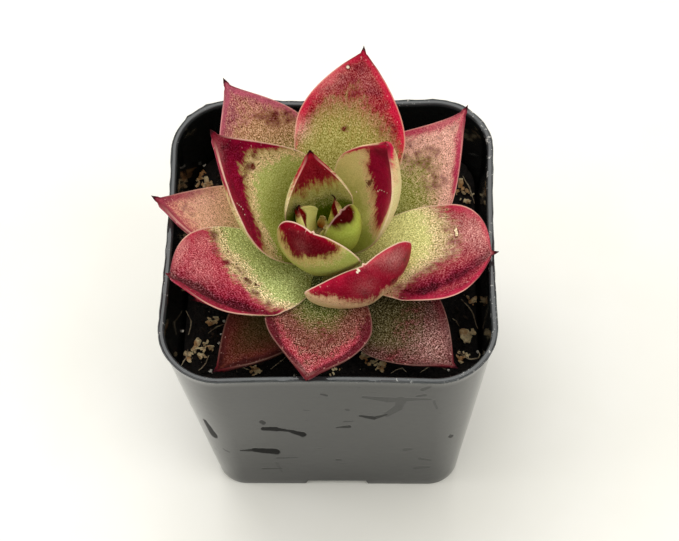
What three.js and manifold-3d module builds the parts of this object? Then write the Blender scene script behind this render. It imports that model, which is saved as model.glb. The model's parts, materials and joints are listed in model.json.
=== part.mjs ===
// A small rosette succulent in a square nursery pot. Millimetres, +Z up.
// The origin is the centre of the underside of the pot's floor, and -Y is the front.
import * as THREE from 'three';
import { mergeVertices } from 'three/addons/utils/BufferGeometryUtils.js';
import Module from 'manifold-3d';

const wasm = await Module();
wasm.setup();

// Pot
const potHeight = 53.9;
const rimSide = 57;
const baseSide = 45.7;
const rimCorner = 10.6;
const baseCorner = 5.7;
const rimBow = 0.35;
const wall = 1.05;
const floorThickness = 1.4;
const lipHeight = 0.8;
const lipDepth = 0.3;
const bottomRound = 0.6;
const notchWidth = 12;
const notchTopWidth = 11;
const notchHeight = 0.7;
const notchDepth = 4;
const drainRadius = 2.2;
const drainOffset = 12;

// Soil
const clearance = 0.3;
const soilLevel = 41;
const soilRelief = 0.9;
const holeRadius = 3.6;
const soilRings = 6;
const chipSink = 0.35;
// Slow waves in the soil's surface: their share of the relief, and the seeded draw's share
const waveShare = 0.35;
const drawShare = 0.5;
const ringCrowding = 0.85;

// Plant
const axisX = -1.5;
const axisY = 0;
const leafGap = 0.35;
const edgeThickness = 0.6;
const mucroLength = 1.4;
const mucroRadius = 0.42;
const leafStations = 12;
const leafColumns = 5;
// Leaf section: width at the base and thickness at both ends as shares of the greatest, how fast it
// thins to the tip, how its faces swell from edge to midrib, and the share that lies under the midrib
const baseShare = 0.42;
const endBody = 0.72;
const bodyEnd = 0.75;
const tipTaper = 3;
const swellPower = 2.4;
const swellRound = 0.7;
const underShare = 0.75;
const mostDepth = 1.3;
// How far along the leaf its cup and its roll grow to their full value
const cupEnd = 0.6;
const rollEnd = 0.5;
const leastCup = 0.02;

const degrees = Math.PI / 180;

// Each leaf, from the oldest to the youngest: the compass angle of its base, the radius and height
// of its base, length, greatest width, rise of the midrib at the base and the tip, cup of the
// blade, roll, sideways sweep, thickness, where it is widest, and how full and how blunt it is. Two
// leaves that curl in at the tip have a point of their own length.
const leaves = [
  { azimuth: 82, radius: 3.9, height: 44.4, length: 21.5, width: 14, baseRise: 2, tipRise: 30,
    cup: 0.7, roll: 0, sweep: 0, thick: 3.0, widest: 0.56, full: 1.7, blunt: 1.0 },
  { azimuth: 4, radius: 3.9, height: 44.2, length: 21, width: 13, baseRise: 0, tipRise: 18,
    cup: 0.6, roll: 0, sweep: 0, thick: 3.0, widest: 0.56, full: 1.7, blunt: 1.0 },
  { azimuth: 203, radius: 3.9, height: 44.3, length: 21, width: 12, baseRise: 0, tipRise: 20,
    cup: 0.6, roll: 0, sweep: 0, thick: 3.0, widest: 0.56, full: 1.7, blunt: 1.0 },
  { azimuth: 238, radius: 3.8, height: 44.8, length: 28.3, width: 14.6, baseRise: 0, tipRise: 29,
    cup: 0.67, roll: -3.5, sweep: -6, thick: 3.3, widest: 0.51, full: 1.49, blunt: 0.91 },
  { azimuth: 312.7, radius: 3.6, height: 45.3, length: 30.3, width: 18, baseRise: -1, tipRise: 19,
    cup: 0.59, roll: 2.2, sweep: 4, thick: 3.4, widest: 0.55, full: 1.62, blunt: 0.92 },
  { azimuth: 170.3, radius: 3.4, height: 46.2, length: 29.4, width: 17, baseRise: 9, tipRise: 41,
    cup: 0.91, roll: 3.3, sweep: -1, thick: 3.4, widest: 0.53, full: 1.47, blunt: 1.02 },
  { azimuth: 38.6, radius: 3.2, height: 46.4, length: 35, width: 20.3, baseRise: -1, tipRise: 46,
    cup: 0.78, roll: 7.8, sweep: 9, thick: 3.4, widest: 0.57, full: 1.25, blunt: 1.13 },
  { azimuth: 120, radius: 3.4, height: 46.5, length: 33.7, width: 19.9, baseRise: 10, tipRise: 44,
    cup: 0.88, roll: 2.3, sweep: 5.5, thick: 3.4, widest: 0.61, full: 1.65, blunt: 1.14 },
  { azimuth: 270.9, radius: 3.4, height: 46.9, length: 28.4, width: 18.9, baseRise: 10, tipRise: 32,
    cup: 0.49, roll: -6, sweep: -9.6, thick: 3.4, widest: 0.56, full: 1.79, blunt: 0.97 },
  { azimuth: 212, radius: 2.8, height: 46.9, length: 29.6, width: 20.2, baseRise: 18, tipRise: 44,
    cup: 0.39, roll: 1.9, sweep: -13.8, thick: 3.4, widest: 0.51, full: 2.28, blunt: 0.56 },
  { azimuth: 348.9, radius: 2.8, height: 47.7, length: 29.2, width: 19.4, baseRise: 12, tipRise: 23,
    cup: 0.28, roll: 0.7, sweep: 4.8, thick: 3.4, widest: 0.66, full: 2.49, blunt: 0.5 },
  { azimuth: 69.7, radius: 2.6, height: 48.4, length: 36.1, width: 20.2, baseRise: 35, tipRise: 67,
    cup: 0.2, roll: -5, sweep: 6.8, thick: 3.4, widest: 0.56, full: 1.71, blunt: 0.95 },
  { azimuth: 155.8, radius: 2.2, height: 48.9, length: 29.7, width: 21.5, baseRise: 44, tipRise: 60,
    cup: 1.0, roll: -2.3, sweep: -8.9, thick: 3.4, widest: 0.49, full: 1.44, blunt: 1.08 },
  { azimuth: 306.5, radius: 4.2, height: 47.4, length: 19.4, width: 21.8, baseRise: -1, tipRise: 120,
    cup: 0.62, roll: -12, sweep: 4.5, thick: 3.7, widest: 0.64, full: 2.9, blunt: 0.5, point: 0.5 },
  { azimuth: 26.8, radius: 2.0, height: 50.4, length: 27.2, width: 18, baseRise: 26, tipRise: 103,
    cup: 0.95, roll: -1.7, sweep: 13, thick: 3.2, widest: 0.52, full: 1.88, blunt: 0.87 },
  { azimuth: 102.9, radius: 1.6, height: 52.7, length: 18.7, width: 14.5, baseRise: 70, tipRise: 79,
    cup: 1.2, roll: 4.5, sweep: -3.7, thick: 2.6, widest: 0.52, full: 1.6, blunt: 0.97 },
  { azimuth: 269, radius: 2.2, height: 51, length: 18.5, width: 15.8, baseRise: 36, tipRise: 109,
    cup: 0.5, roll: -6, sweep: -25, thick: 3.5, widest: 0.58, full: 2.6, blunt: 0.45, point: 0.5 },
  { azimuth: 327.9, radius: 2.4, height: 53.2, length: 13.9, width: 8.8, baseRise: 43, tipRise: 120,
    cup: 0.92, roll: -8.2, sweep: -2.2, thick: 3.0, widest: 0.59, full: 2.4, blunt: 0.7 },
  { azimuth: 167.9, radius: 0.9, height: 53.3, length: 9.6, width: 6.2, baseRise: 64, tipRise: 84,
    cup: 1.1, roll: -2, sweep: -1.4, thick: 1.9, widest: 0.55, full: 2.0, blunt: 0.9 },
  { azimuth: 58, radius: 1.5, height: 53.3, length: 8.8, width: 5.6, baseRise: 50, tipRise: 98,
    cup: 1.0, roll: 0, sweep: 0, thick: 2.1, widest: 0.56, full: 1.85, blunt: 0.95 },
];

// Radius and height of the stem's outline: the root crown in the soil from the top down, and the
// stem above it from the soil up to the crown of leaves
const rootProfile = [[3.2, 38.5], [2.8, 33], [1.8, 28]];
const rootEnd = 26.5;
const shootProfile = [[3.2, 42.6], [4.6, 44.2], [4.6, 46.5], [4.0, 48.5], [3.2, 50.5], [2.2, 53.2], [1.2, 54.8]];
const shootEnd = 55;
const stemSides = 14;
const budHeight = 3.2;
const budRadius = 0.85;
const budBase = 55.4;

// Bark and husk chips on the soil: place, size and turn
const chips = [
  { x: -23.2, y: -14.4, length: 2.6, width: 1.6, turn: 70 },
  { x: -21.2, y: -15.4, length: 2.4, width: 1.4, turn: 15 },
  { x: -22.6, y: -17.2, length: 2.2, width: 1.3, turn: 120 },
  { x: -20.6, y: -10.2, length: 2.8, width: 1.1, turn: 20 },
  { x: -24.4, y: -17.9, length: 1.6, width: 1.1, turn: 100 },
  { x: -12.6, y: -19.6, length: 2.2, width: 1.2, turn: 15 },
  { x: 6.5, y: -16.9, length: 2.4, width: 1.8, turn: 30 },
  { x: 8.2, y: -16, length: 1.3, width: 1, turn: 75 },
  { x: 8.9, y: -18.6, length: 2, width: 1.2, turn: -20 },
  { x: 23.8, y: -12.7, length: 3, width: 2.4, turn: 10 },
  { x: 22.6, y: -17.6, length: 1.8, width: 1, turn: 55 },
  { x: -23.4, y: 18.8, length: 2.8, width: 1.6, turn: 100 },
  { x: -22.4, y: 16.2, length: 2.3, width: 1.4, turn: 35 },
  { x: 23, y: 18.6, length: 2.4, width: 1.4, turn: 85 },
  { x: 24.2, y: 14.6, length: 2.2, width: 1.2, turn: -35 },
  { x: -8, y: 23.2, length: 2.4, width: 1.5, turn: 0 },
  { x: 12.5, y: 23.6, length: 2, width: 1.3, turn: 60 },
];

function seeded(seed) {
  let state = seed;
  return () => {
    state = (state * 1664525 + 1013904223) % 4294967296;
    return state / 4294967296;
  };
}

function toSolid(geometry) {
  const bare = geometry.clone();
  bare.deleteAttribute('normal');
  bare.deleteAttribute('uv');
  const merged = mergeVertices(bare, 1e-4);
  return new wasm.Manifold(new wasm.Mesh({
    numProp: 3,
    vertProperties: new Float32Array(merged.attributes.position.array),
    triVerts: new Uint32Array(merged.index.array),
  }));
}

function toGeometry(solid) {
  const mesh = solid.getMesh();
  const geometry = new THREE.BufferGeometry();
  geometry.setAttribute('position', new THREE.BufferAttribute(new Float32Array(mesh.vertProperties), 3));
  geometry.setIndex(new THREE.BufferAttribute(new Uint32Array(mesh.triVerts), 1));
  return geometry;
}

// The largest piece of a solid that a cut may have parted
function largestPiece(solid) {
  const pieces = solid.decompose();
  return pieces.reduce((best, piece) => (piece.volume() > best.volume() ? piece : best), pieces[0]);
}

// A closed skin through rings of points, with a fan at each end
function loft(rings, startPoint, endPoint) {
  const count = rings[0].length;
  const positions = [];
  for (const ring of rings) {
    for (const point of ring) positions.push(point.x, point.y, point.z);
  }
  const startIndex = positions.length / 3;
  positions.push(startPoint.x, startPoint.y, startPoint.z);
  positions.push(endPoint.x, endPoint.y, endPoint.z);
  const faces = [];
  for (let row = 0; row + 1 < rings.length; row += 1) {
    for (let k = 0; k < count; k += 1) {
      const next = (k + 1) % count;
      const a = row * count + k;
      const b = row * count + next;
      const c = (row + 1) * count + next;
      const d = (row + 1) * count + k;
      faces.push(a, b, c, a, c, d);
    }
  }
  const last = (rings.length - 1) * count;
  for (let k = 0; k < count; k += 1) {
    const next = (k + 1) % count;
    faces.push(startIndex, next, k);
    faces.push(startIndex + 1, last + k, last + next);
  }
  const geometry = new THREE.BufferGeometry();
  geometry.setAttribute('position', new THREE.Float32BufferAttribute(positions, 3));
  geometry.setIndex(faces);
  return geometry;
}

// A square with round corners and sides that bow inwards, anticlockwise from +X
function squareRing(half, corner, bow, z) {
  const arcSteps = 6;
  const sideSteps = 4;
  const points = [];
  const inner = half - corner;
  for (let quarter = 0; quarter < 4; quarter += 1) {
    const turn = quarter * 90 * degrees;
    const place = (x, y) => new THREE.Vector3(
      x * Math.cos(turn) - y * Math.sin(turn), x * Math.sin(turn) + y * Math.cos(turn), z);
    for (let step = 0; step <= arcSteps; step += 1) {
      const angle = (step / arcSteps) * 90 * degrees;
      points.push(place(inner + corner * Math.cos(angle), inner + corner * Math.sin(angle)));
    }
    for (let step = 1; step < sideSteps; step += 1) {
      const along = step / sideSteps;
      const dip = bow * (1 - (2 * along - 1) ** 2);
      points.push(place(inner * (1 - 2 * along), half - dip));
    }
  }
  return points;
}

// The pot's outside at a height, set in by a distance
function potRing(z, inset) {
  const part = z / potHeight;
  const half = THREE.MathUtils.lerp(baseSide, rimSide, part) / 2;
  const corner = THREE.MathUtils.lerp(baseCorner, rimCorner, part);
  return squareRing(half - inset, corner - inset, rimBow * part, z);
}

function makePot() {
  const lipBottom = potHeight - lipHeight;
  const outside = loft([
    potRing(0, bottomRound),
    potRing(bottomRound, 0),
    potRing(potHeight / 2, lipDepth / 2),
    potRing(lipBottom, lipDepth),
    potRing(lipBottom + lipDepth / 2, 0),
    potRing(potHeight, 0),
  ], new THREE.Vector3(0, 0, 0), new THREE.Vector3(0, 0, potHeight));
  const inside = loft([
    potRing(floorThickness, wall + bottomRound),
    potRing(floorThickness + bottomRound, wall),
    potRing(lipBottom, wall + lipDepth / 2),
    potRing(potHeight, wall),
    potRing(potHeight + 1, wall),
  ], new THREE.Vector3(0, 0, floorThickness), new THREE.Vector3(0, 0, potHeight + 1));
  let pot = toSolid(outside).subtract(toSolid(inside));

  const notch = new THREE.Shape();
  notch.moveTo(-notchWidth / 2, -1);
  notch.lineTo(notchWidth / 2, -1);
  notch.lineTo(notchWidth / 2, 0);
  notch.lineTo(notchTopWidth / 2, notchHeight);
  notch.lineTo(-notchTopWidth / 2, notchHeight);
  notch.lineTo(-notchWidth / 2, 0);
  for (let side = 0; side < 4; side += 1) {
    const block = new THREE.ExtrudeGeometry(notch, { depth: notchDepth + 1, bevelEnabled: false });
    block.rotateX(90 * degrees);
    block.translate(0, -baseSide / 2 + notchDepth, 0);
    block.rotateZ(side * 90 * degrees);
    pot = pot.subtract(toSolid(block));
    const drain = new THREE.CylinderGeometry(drainRadius, drainRadius, 4 * floorThickness, 16);
    drain.rotateX(90 * degrees);
    drain.translate(drainOffset, drainOffset, 0);
    drain.rotateZ(side * 90 * degrees);
    pot = pot.subtract(toSolid(drain));
  }
  return pot;
}

// Where the blade ends and its point begins, as a share of the leaf's length
function bladeEndOf(leaf) {
  return 1 - (leaf.point ?? mucroLength) / leaf.length;
}

// Half of the blade's width at a place along the leaf, 0 at the base and 1 at the tip
function halfWidth(leaf, along) {
  const bladeEnd = bladeEndOf(leaf);
  const place = Math.min(1, Math.max(0, along / bladeEnd));
  let share;
  if (place < leaf.widest) {
    share = baseShare + (1 - baseShare) * Math.sin((Math.PI / 2) * (place / leaf.widest));
  } else {
    const past = (place - leaf.widest) / (1 - leaf.widest);
    share = Math.max(0, 1 - past ** leaf.full) ** leaf.blunt;
  }
  const mucro = mucroRadius * Math.min(1, Math.max(0, (1 - along) / (1 - bladeEnd)));
  return Math.max(share * leaf.width / 2, mucro);
}

// The midrib's direction at a place along the leaf
function midribDirection(leaf, along) {
  const rise = (leaf.baseRise + (leaf.tipRise - leaf.baseRise) * along) * degrees;
  const turn = (leaf.azimuth + leaf.sweep * along) * degrees;
  return new THREE.Vector3(Math.cos(rise) * Math.cos(turn), Math.cos(rise) * Math.sin(turn), Math.sin(rise));
}

// Places along the midrib, by small steps from the base
function midrib(leaf) {
  const steps = 60;
  const turn = leaf.azimuth * degrees;
  const points = [new THREE.Vector3(
    axisX + leaf.radius * Math.cos(turn), axisY + leaf.radius * Math.sin(turn), leaf.height)];
  for (let step = 0; step < steps; step += 1) {
    const direction = midribDirection(leaf, (step + 0.5) / steps);
    points.push(points[step].clone().addScaledVector(direction, leaf.length / steps));
  }
  return (along) => {
    const inside = Math.min(1, Math.max(0, along));
    const index = Math.min(steps - 1, Math.floor(inside * steps));
    const point = points[index].clone().lerp(points[index + 1], inside * steps - index);
    return point.addScaledVector(midribDirection(leaf, inside), (along - inside) * leaf.length);
  };
}

// One closed section of a leaf: the lower face from edge to edge, then the upper face back
function leafRing(leaf, centre, along, extra) {
  const inside = Math.min(1, Math.max(0, along));
  const forward = midribDirection(leaf, inside);
  const turn = (leaf.azimuth + leaf.sweep * inside) * degrees;
  const flat = new THREE.Vector3(-Math.sin(turn), Math.cos(turn), 0);
  const roll = leaf.roll * degrees * Math.min(1, inside / rollEnd);
  const side = flat.applyAxisAngle(forward, roll);
  const up = new THREE.Vector3().crossVectors(forward, side);
  const half = halfWidth(leaf, inside) + extra;
  const cup = leaf.cup * Math.sin((Math.PI / 2) * Math.min(1, inside / cupEnd)) + leastCup;
  const body = endBody + (1 - endBody) * Math.sin(Math.PI * Math.min(1, inside / bodyEnd));
  const taper = Math.sqrt(Math.min(1, tipTaper * (1 - inside)));
  const depth = Math.min(leaf.thick * body * taper, mostDepth * half);
  const edge = Math.min(edgeThickness, depth);
  const upper = [];
  const lower = [];
  for (let column = 0; column <= leafColumns; column += 1) {
    const across = 2 * column / leafColumns - 1;
    const bend = cup * across;
    const x = half * Math.sin(bend) / cup;
    const y = half * (1 - Math.cos(bend)) / cup;
    const swell = (1 - Math.abs(across) ** swellPower) ** swellRound;
    const height = edge + (depth - edge) * swell;
    const surface = (offset) => centre.clone()
      .addScaledVector(side, x - Math.sin(bend) * offset)
      .addScaledVector(up, y + Math.cos(bend) * offset);
    lower.push(surface(-underShare * height - extra));
    upper.unshift(surface((1 - underShare) * height + extra));
  }
  return [...lower, ...upper];
}

function leafSolid(leaf, extra) {
  const path = midrib(leaf);
  const bladeEnd = bladeEndOf(leaf);
  const reach = extra / leaf.length;
  const stations = [];
  for (let step = 0; step < leafStations; step += 1) {
    stations.push(-reach + (bladeEnd + reach) * step / (leafStations - 1));
  }
  if (extra > 0) stations.push(1);
  const rings = stations.map((along) => leafRing(leaf, path(along), along, extra));
  return toSolid(loft(rings, path(-reach), path(1 + reach)));
}

function makeStem() {
  const outline = [[0, rootEnd], ...rootProfile.slice().reverse(), ...shootProfile, [0, shootEnd]];
  const profile = outline.map(([radius, height]) => new THREE.Vector2(radius, height));
  const lathe = new THREE.LatheGeometry(profile, stemSides);
  lathe.rotateX(90 * degrees);
  lathe.translate(axisX, axisY, 0);
  return toSolid(lathe);
}

// The folded centre of the rosette: a small pointed egg, narrower from front to back
function makeBud() {
  const sides = 10;
  const levels = 6;
  const footShare = 0.55;
  const bulge = 0.9;
  const flatness = 0.75;
  const rings = [];
  for (let level = 0; level < levels; level += 1) {
    const part = level / levels;
    const radius = budRadius * (footShare + bulge * part) * Math.sqrt(1 - part ** 2);
    const ring = [];
    for (let k = 0; k < sides; k += 1) {
      const angle = (k / sides) * 2 * Math.PI;
      const x = axisX + radius * Math.cos(angle);
      const y = axisY + flatness * radius * Math.sin(angle);
      ring.push(new THREE.Vector3(x, y, budBase + budHeight * part));
    }
    rings.push(ring);
  }
  const bottom = new THREE.Vector3(axisX, axisY, budBase);
  return toSolid(loft(rings, bottom, new THREE.Vector3(axisX, axisY, budBase + budHeight)));
}

// Height of the soil, from slow waves and a small seeded draw, lower at the pot's wall
function soilHeight(x, y, draw) {
  const waves = Math.sin(0.31 * x + 1.2) * Math.cos(0.27 * y - 0.4) + 0.6 * Math.sin(0.55 * y + 0.3 * x);
  return soilLevel + soilRelief * (waveShare * waves + drawShare * (draw() - 0.5));
}

function makeSoil() {
  const draw = seeded(7);
  const holeRing = (radius, z) => potRing(soilLevel, wall).map((edge) => {
    const angle = Math.atan2(edge.y - axisY, edge.x - axisX);
    return new THREE.Vector3(axisX + radius * Math.cos(angle), axisY + radius * Math.sin(angle), z);
  });
  const wallRing = (z) => potRing(z, wall + clearance + lipDepth / 2);
  const bottom = floorThickness + clearance;
  const topRings = [];
  for (let ring = 0; ring <= soilRings; ring += 1) {
    const part = (ring / soilRings) ** ringCrowding;
    const inner = holeRing(holeRadius, soilLevel);
    const outer = wallRing(soilLevel);
    topRings.push(inner.map((point, k) => {
      const place = point.clone().lerp(outer[k], part);
      place.z = soilHeight(place.x, place.y, draw);
      return place;
    }));
  }
  const lowest = wallRing(bottom + bottomRound);
  const foot = potRing(bottom, wall + clearance + bottomRound);
  const holeGap = clearance + 0.1;
  const holeRings = rootProfile.map(([radius, height]) => holeRing(radius + holeGap, height));
  const rings = [foot, lowest, ...topRings.reverse(), ...holeRings];
  const holeEnd = new THREE.Vector3(axisX, axisY, rootEnd - holeGap);
  return { body: toSolid(loft(rings, new THREE.Vector3(0, 0, bottom), holeEnd)), draw };
}

// A lumpy flake that lies in the soil's surface
function chipSolid(chip, draw) {
  const leastSwell = 0.8;
  const swellRange = 0.35;
  const flakeFlatness = 1.3;
  const geometry = new THREE.IcosahedronGeometry(1, 0);
  geometry.deleteAttribute('normal');
  geometry.deleteAttribute('uv');
  const merged = mergeVertices(geometry, 1e-4);
  const position = merged.attributes.position;
  for (let k = 0; k < position.count; k += 1) {
    const swell = leastSwell + swellRange * draw();
    position.setXYZ(k, position.getX(k) * swell, position.getY(k) * swell, position.getZ(k) * swell);
  }
  merged.scale(chip.length / 2, chip.width / 2, chip.width / 2 / flakeFlatness);
  merged.rotateZ(chip.turn * degrees);
  merged.translate(chip.x, chip.y, soilLevel + chipSink * chip.width / 2);
  return toSolid(merged);
}

function addMesh(group, name, solid, colour, roughness) {
  const material = new THREE.MeshStandardMaterial({ color: colour, roughness, metalness: 0 });
  const mesh = new THREE.Mesh(toGeometry(solid), material);
  mesh.name = name;
  group.add(mesh);
}

const group = new THREE.Group();
addMesh(group, 'pot', makePot(), 0x17181a, 0.35);

const soilParts = makeSoil();
let soil = soilParts.body;
for (const chip of chips) soil = soil.add(chipSolid(chip, soilParts.draw));

// The outer leaves are dusty rose, and from this place in the table on they are green
const firstGreenLeaf = 11;

// Each younger leaf keeps its form, and the older ones below it are pressed in by it
const grown = leaves.map((leaf) => leafSolid(leaf, leafGap));
let stem = makeStem();
leaves.forEach((leaf, index) => {
  let solid = leafSolid(leaf, 0);
  for (let other = index + 1; other < leaves.length; other += 1) {
    solid = solid.subtract(grown[other]);
  }
  stem = stem.subtract(grown[index]);
  soil = soil.subtract(grown[index]);
  const colour = index >= firstGreenLeaf ? 0x9fb45a : 0xa8565a;
  const number = String(index + 1).padStart(2, '0');
  addMesh(group, `leaf_${number}`, largestPiece(solid), colour, 0.45);
});
addMesh(group, 'stem', largestPiece(stem), 0x8a7a4e, 0.7);
addMesh(group, 'bud', makeBud(), 0xa08a55, 0.5);
addMesh(group, 'soil', largestPiece(soil), 0x15110e, 0.95);

export default group;
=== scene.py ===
import json
import math

import bpy
import numpy as np
from mathutils import Matrix, Vector, noise

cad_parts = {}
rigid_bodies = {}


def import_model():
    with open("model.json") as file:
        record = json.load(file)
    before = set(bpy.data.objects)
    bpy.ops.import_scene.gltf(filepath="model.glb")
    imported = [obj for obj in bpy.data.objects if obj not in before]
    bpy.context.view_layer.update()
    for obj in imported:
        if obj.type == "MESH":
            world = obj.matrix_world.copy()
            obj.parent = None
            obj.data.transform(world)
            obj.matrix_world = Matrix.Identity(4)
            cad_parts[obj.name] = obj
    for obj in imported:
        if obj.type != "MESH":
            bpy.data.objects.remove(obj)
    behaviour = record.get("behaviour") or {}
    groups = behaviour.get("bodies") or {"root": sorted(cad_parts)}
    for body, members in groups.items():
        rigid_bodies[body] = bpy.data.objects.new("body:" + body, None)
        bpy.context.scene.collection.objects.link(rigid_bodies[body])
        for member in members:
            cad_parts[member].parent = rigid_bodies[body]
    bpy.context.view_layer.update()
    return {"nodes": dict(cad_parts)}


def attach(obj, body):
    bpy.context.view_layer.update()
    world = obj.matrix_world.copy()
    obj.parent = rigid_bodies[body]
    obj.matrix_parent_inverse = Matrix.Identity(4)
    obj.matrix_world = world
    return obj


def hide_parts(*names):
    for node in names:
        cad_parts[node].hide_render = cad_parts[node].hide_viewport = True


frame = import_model()

mm = 0.001
plantAxis = (-1.5, 0.0)  # where the stem stands, in millimetres


# Meshes and finished pieces

def addMesh(name, points, faces, smooth=True):
    # points are in millimetres
    mesh = bpy.data.meshes.new(name)
    flat = np.asarray(points, dtype=np.float32) * mm
    quads = np.asarray(faces, dtype=np.int32)
    mesh.vertices.add(len(flat))
    mesh.vertices.foreach_set("co", flat.ravel())
    width = quads.shape[1]
    mesh.loops.add(quads.size)
    mesh.loops.foreach_set("vertex_index", quads.ravel())
    mesh.polygons.add(len(quads))
    mesh.polygons.foreach_set("loop_start", np.arange(0, quads.size, width, dtype=np.int32))
    mesh.polygons.foreach_set("use_smooth", np.full(len(quads), smooth))
    mesh.update(calc_edges=True)
    mesh.validate()
    piece = bpy.data.objects.new(name, mesh)
    bpy.context.scene.collection.objects.link(piece)
    return piece


def addField(piece, name, values):
    field = piece.data.attributes.new(name, "FLOAT", "POINT")
    field.data.foreach_set("value", np.asarray(values, dtype=np.float32).ravel())


def addTint(piece, name, colour):
    # one colour for the whole piece, kept with the mesh
    tint = piece.data.attributes.new(name, "FLOAT_VECTOR", "POINT")
    tint.data.foreach_set("vector", np.tile(np.float32(colour), len(piece.data.vertices)))


def addGrainMap(piece, across, along):
    # a UV map in millimetres, so that grain keeps one size on every leaf
    loops = np.zeros(len(piece.data.loops), dtype=np.int32)
    piece.data.loops.foreach_get("vertex_index", loops)
    uv = piece.data.uv_layers.new(name="grain")
    both = np.stack([np.ravel(across)[loops], np.ravel(along)[loops]], axis=1).astype(np.float32)
    uv.data.foreach_set("uv", both.ravel())


def ringFaces(rows, columns):
    # quads of a skin through rings of points
    here = np.arange(columns)
    after = (here + 1) % columns
    row = np.arange(rows - 1)[:, None] * columns
    side = np.stack([row + here, row + after, row + columns + after, row + columns + here], axis=-1)
    return side.reshape(-1, 4)


def endCaps(first, rows, columns):
    # triangles to the two poles, whose points come straight after those of the rings
    pole = first + rows * columns
    last = pole - columns
    pairs = [(k, (k + 1) % columns) for k in range(columns)]
    return ([(pole, first + after, first + here) for here, after in pairs]
            + [(pole + 1, last + here, last + after) for here, after in pairs])


def closedLoft(name, rings, startPoint, endPoint):
    # rings is rows by columns by 3; both ends close in a pole
    rows, columns = rings.shape[:2]
    points = np.concatenate([rings.reshape(-1, 3), [startPoint], [endPoint]])
    piece = addMesh(name, points, ringFaces(rows, columns))
    addTriangles(piece, endCaps(0, rows, columns), True)
    return piece


def addTriangles(piece, triangles, smooth):
    mesh = piece.data
    loopCount = len(mesh.loops)
    faceCount = len(mesh.polygons)
    mesh.loops.add(len(triangles) * 3)
    mesh.polygons.add(len(triangles))
    vertexIndex = np.zeros(len(mesh.loops), dtype=np.int32)
    mesh.loops.foreach_get("vertex_index", vertexIndex)
    vertexIndex[loopCount:] = np.asarray(triangles, dtype=np.int32).ravel()
    mesh.loops.foreach_set("vertex_index", vertexIndex)
    starts = np.zeros(len(mesh.polygons), dtype=np.int32)
    mesh.polygons.foreach_get("loop_start", starts)
    starts[faceCount:] = loopCount + 3 * np.arange(len(triangles))
    mesh.polygons.foreach_set("loop_start", starts)
    mesh.polygons.foreach_set("use_smooth", np.full(len(mesh.polygons), smooth))
    mesh.update(calc_edges=True)


def finishPiece(piece, material, nodes=()):
    piece.data.materials.clear()
    piece.data.materials.append(material)
    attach(piece, "root")
    if nodes:
        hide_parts(*nodes)
    return piece


def smoothStep(low, high, value):
    part = np.clip((value - low) / (high - low), 0, 1)
    return part * part * (3 - 2 * part)


# Material nodes

def newMaterial(name):
    material = bpy.data.materials.new(name)
    material.use_nodes = True
    tree = material.node_tree
    shader = tree.nodes["Principled BSDF"]
    return material, tree, shader


def put(tree, kind, **settings):
    node = tree.nodes.new(kind)
    for key, value in settings.items():
        setattr(node, key, value)
    return node


def feed(tree, socket, value):
    if hasattr(value, "is_output"):
        tree.links.new(value, socket)
    elif isinstance(value, tuple) and len(value) == 3 and socket.type == "RGBA":
        socket.default_value = (*value, 1)
    else:
        socket.default_value = value


def calc(tree, operation, *values):
    node = put(tree, "ShaderNodeMath", operation=operation)
    for socket, value in zip(node.inputs, values):
        feed(tree, socket, value)
    return node.outputs[0]


def plus(tree, first, second):
    return calc(tree, "ADD", first, second)


def times(tree, first, second):
    return calc(tree, "MULTIPLY", first, second)


def timesPlus(tree, first, second, third):
    # first times second, plus third
    return calc(tree, "MULTIPLY_ADD", first, second, third)


def ramp(tree, value, low, high, start=0.0, end=1.0, smooth=True):
    node = put(tree, "ShaderNodeMapRange", interpolation_type="SMOOTHSTEP" if smooth else "LINEAR")
    settings = {"Value": value, "From Min": low, "From Max": high, "To Min": start, "To Max": end}
    for key, setting in settings.items():
        feed(tree, node.inputs[key], setting)
    return node.outputs[0]


def mixColour(tree, share, first, second):
    node = put(tree, "ShaderNodeMix", data_type="RGBA")
    feed(tree, node.inputs[0], share)
    feed(tree, node.inputs[6], first)
    feed(tree, node.inputs[7], second)
    return node.outputs[2]


def field(tree, name):
    return put(tree, "ShaderNodeAttribute", attribute_name=name).outputs["Fac"]


def tint(tree, name):
    return put(tree, "ShaderNodeAttribute", attribute_name=name).outputs["Vector"]


def lit(tree, colour, share):
    # a colour made darker or lighter by a factor
    node = put(tree, "ShaderNodeVectorMath", operation="SCALE")
    feed(tree, node.inputs[0], colour)
    feed(tree, node.inputs["Scale"], share)
    return node.outputs[0]


def objectPlace(tree):
    # a place in the piece's own frame, in metres
    return put(tree, "ShaderNodeTexCoord").outputs["Object"]


def scaled(tree, vector, x, y, z=1.0):
    node = put(tree, "ShaderNodeMapping")
    feed(tree, node.inputs["Vector"], vector)
    node.inputs["Scale"].default_value = (x, y, z)
    return node.outputs[0]


def cloud(tree, vector, scale, detail, roughness):
    # noise about zero, mostly from -0.5 to 0.5
    node = put(tree, "ShaderNodeTexNoise")
    feed(tree, node.inputs["Vector"], vector)
    node.inputs["Scale"].default_value = scale
    node.inputs["Detail"].default_value = detail
    node.inputs["Roughness"].default_value = roughness
    return timesPlus(tree, node.outputs[0], 2.0, -1.0)


def bumped(tree, shader, height, strength, distance):
    node = put(tree, "ShaderNodeBump")
    feed(tree, node.inputs["Height"], height)
    node.inputs["Strength"].default_value = strength
    node.inputs["Distance"].default_value = distance
    tree.links.new(node.outputs[0], shader.inputs["Normal"])


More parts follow.
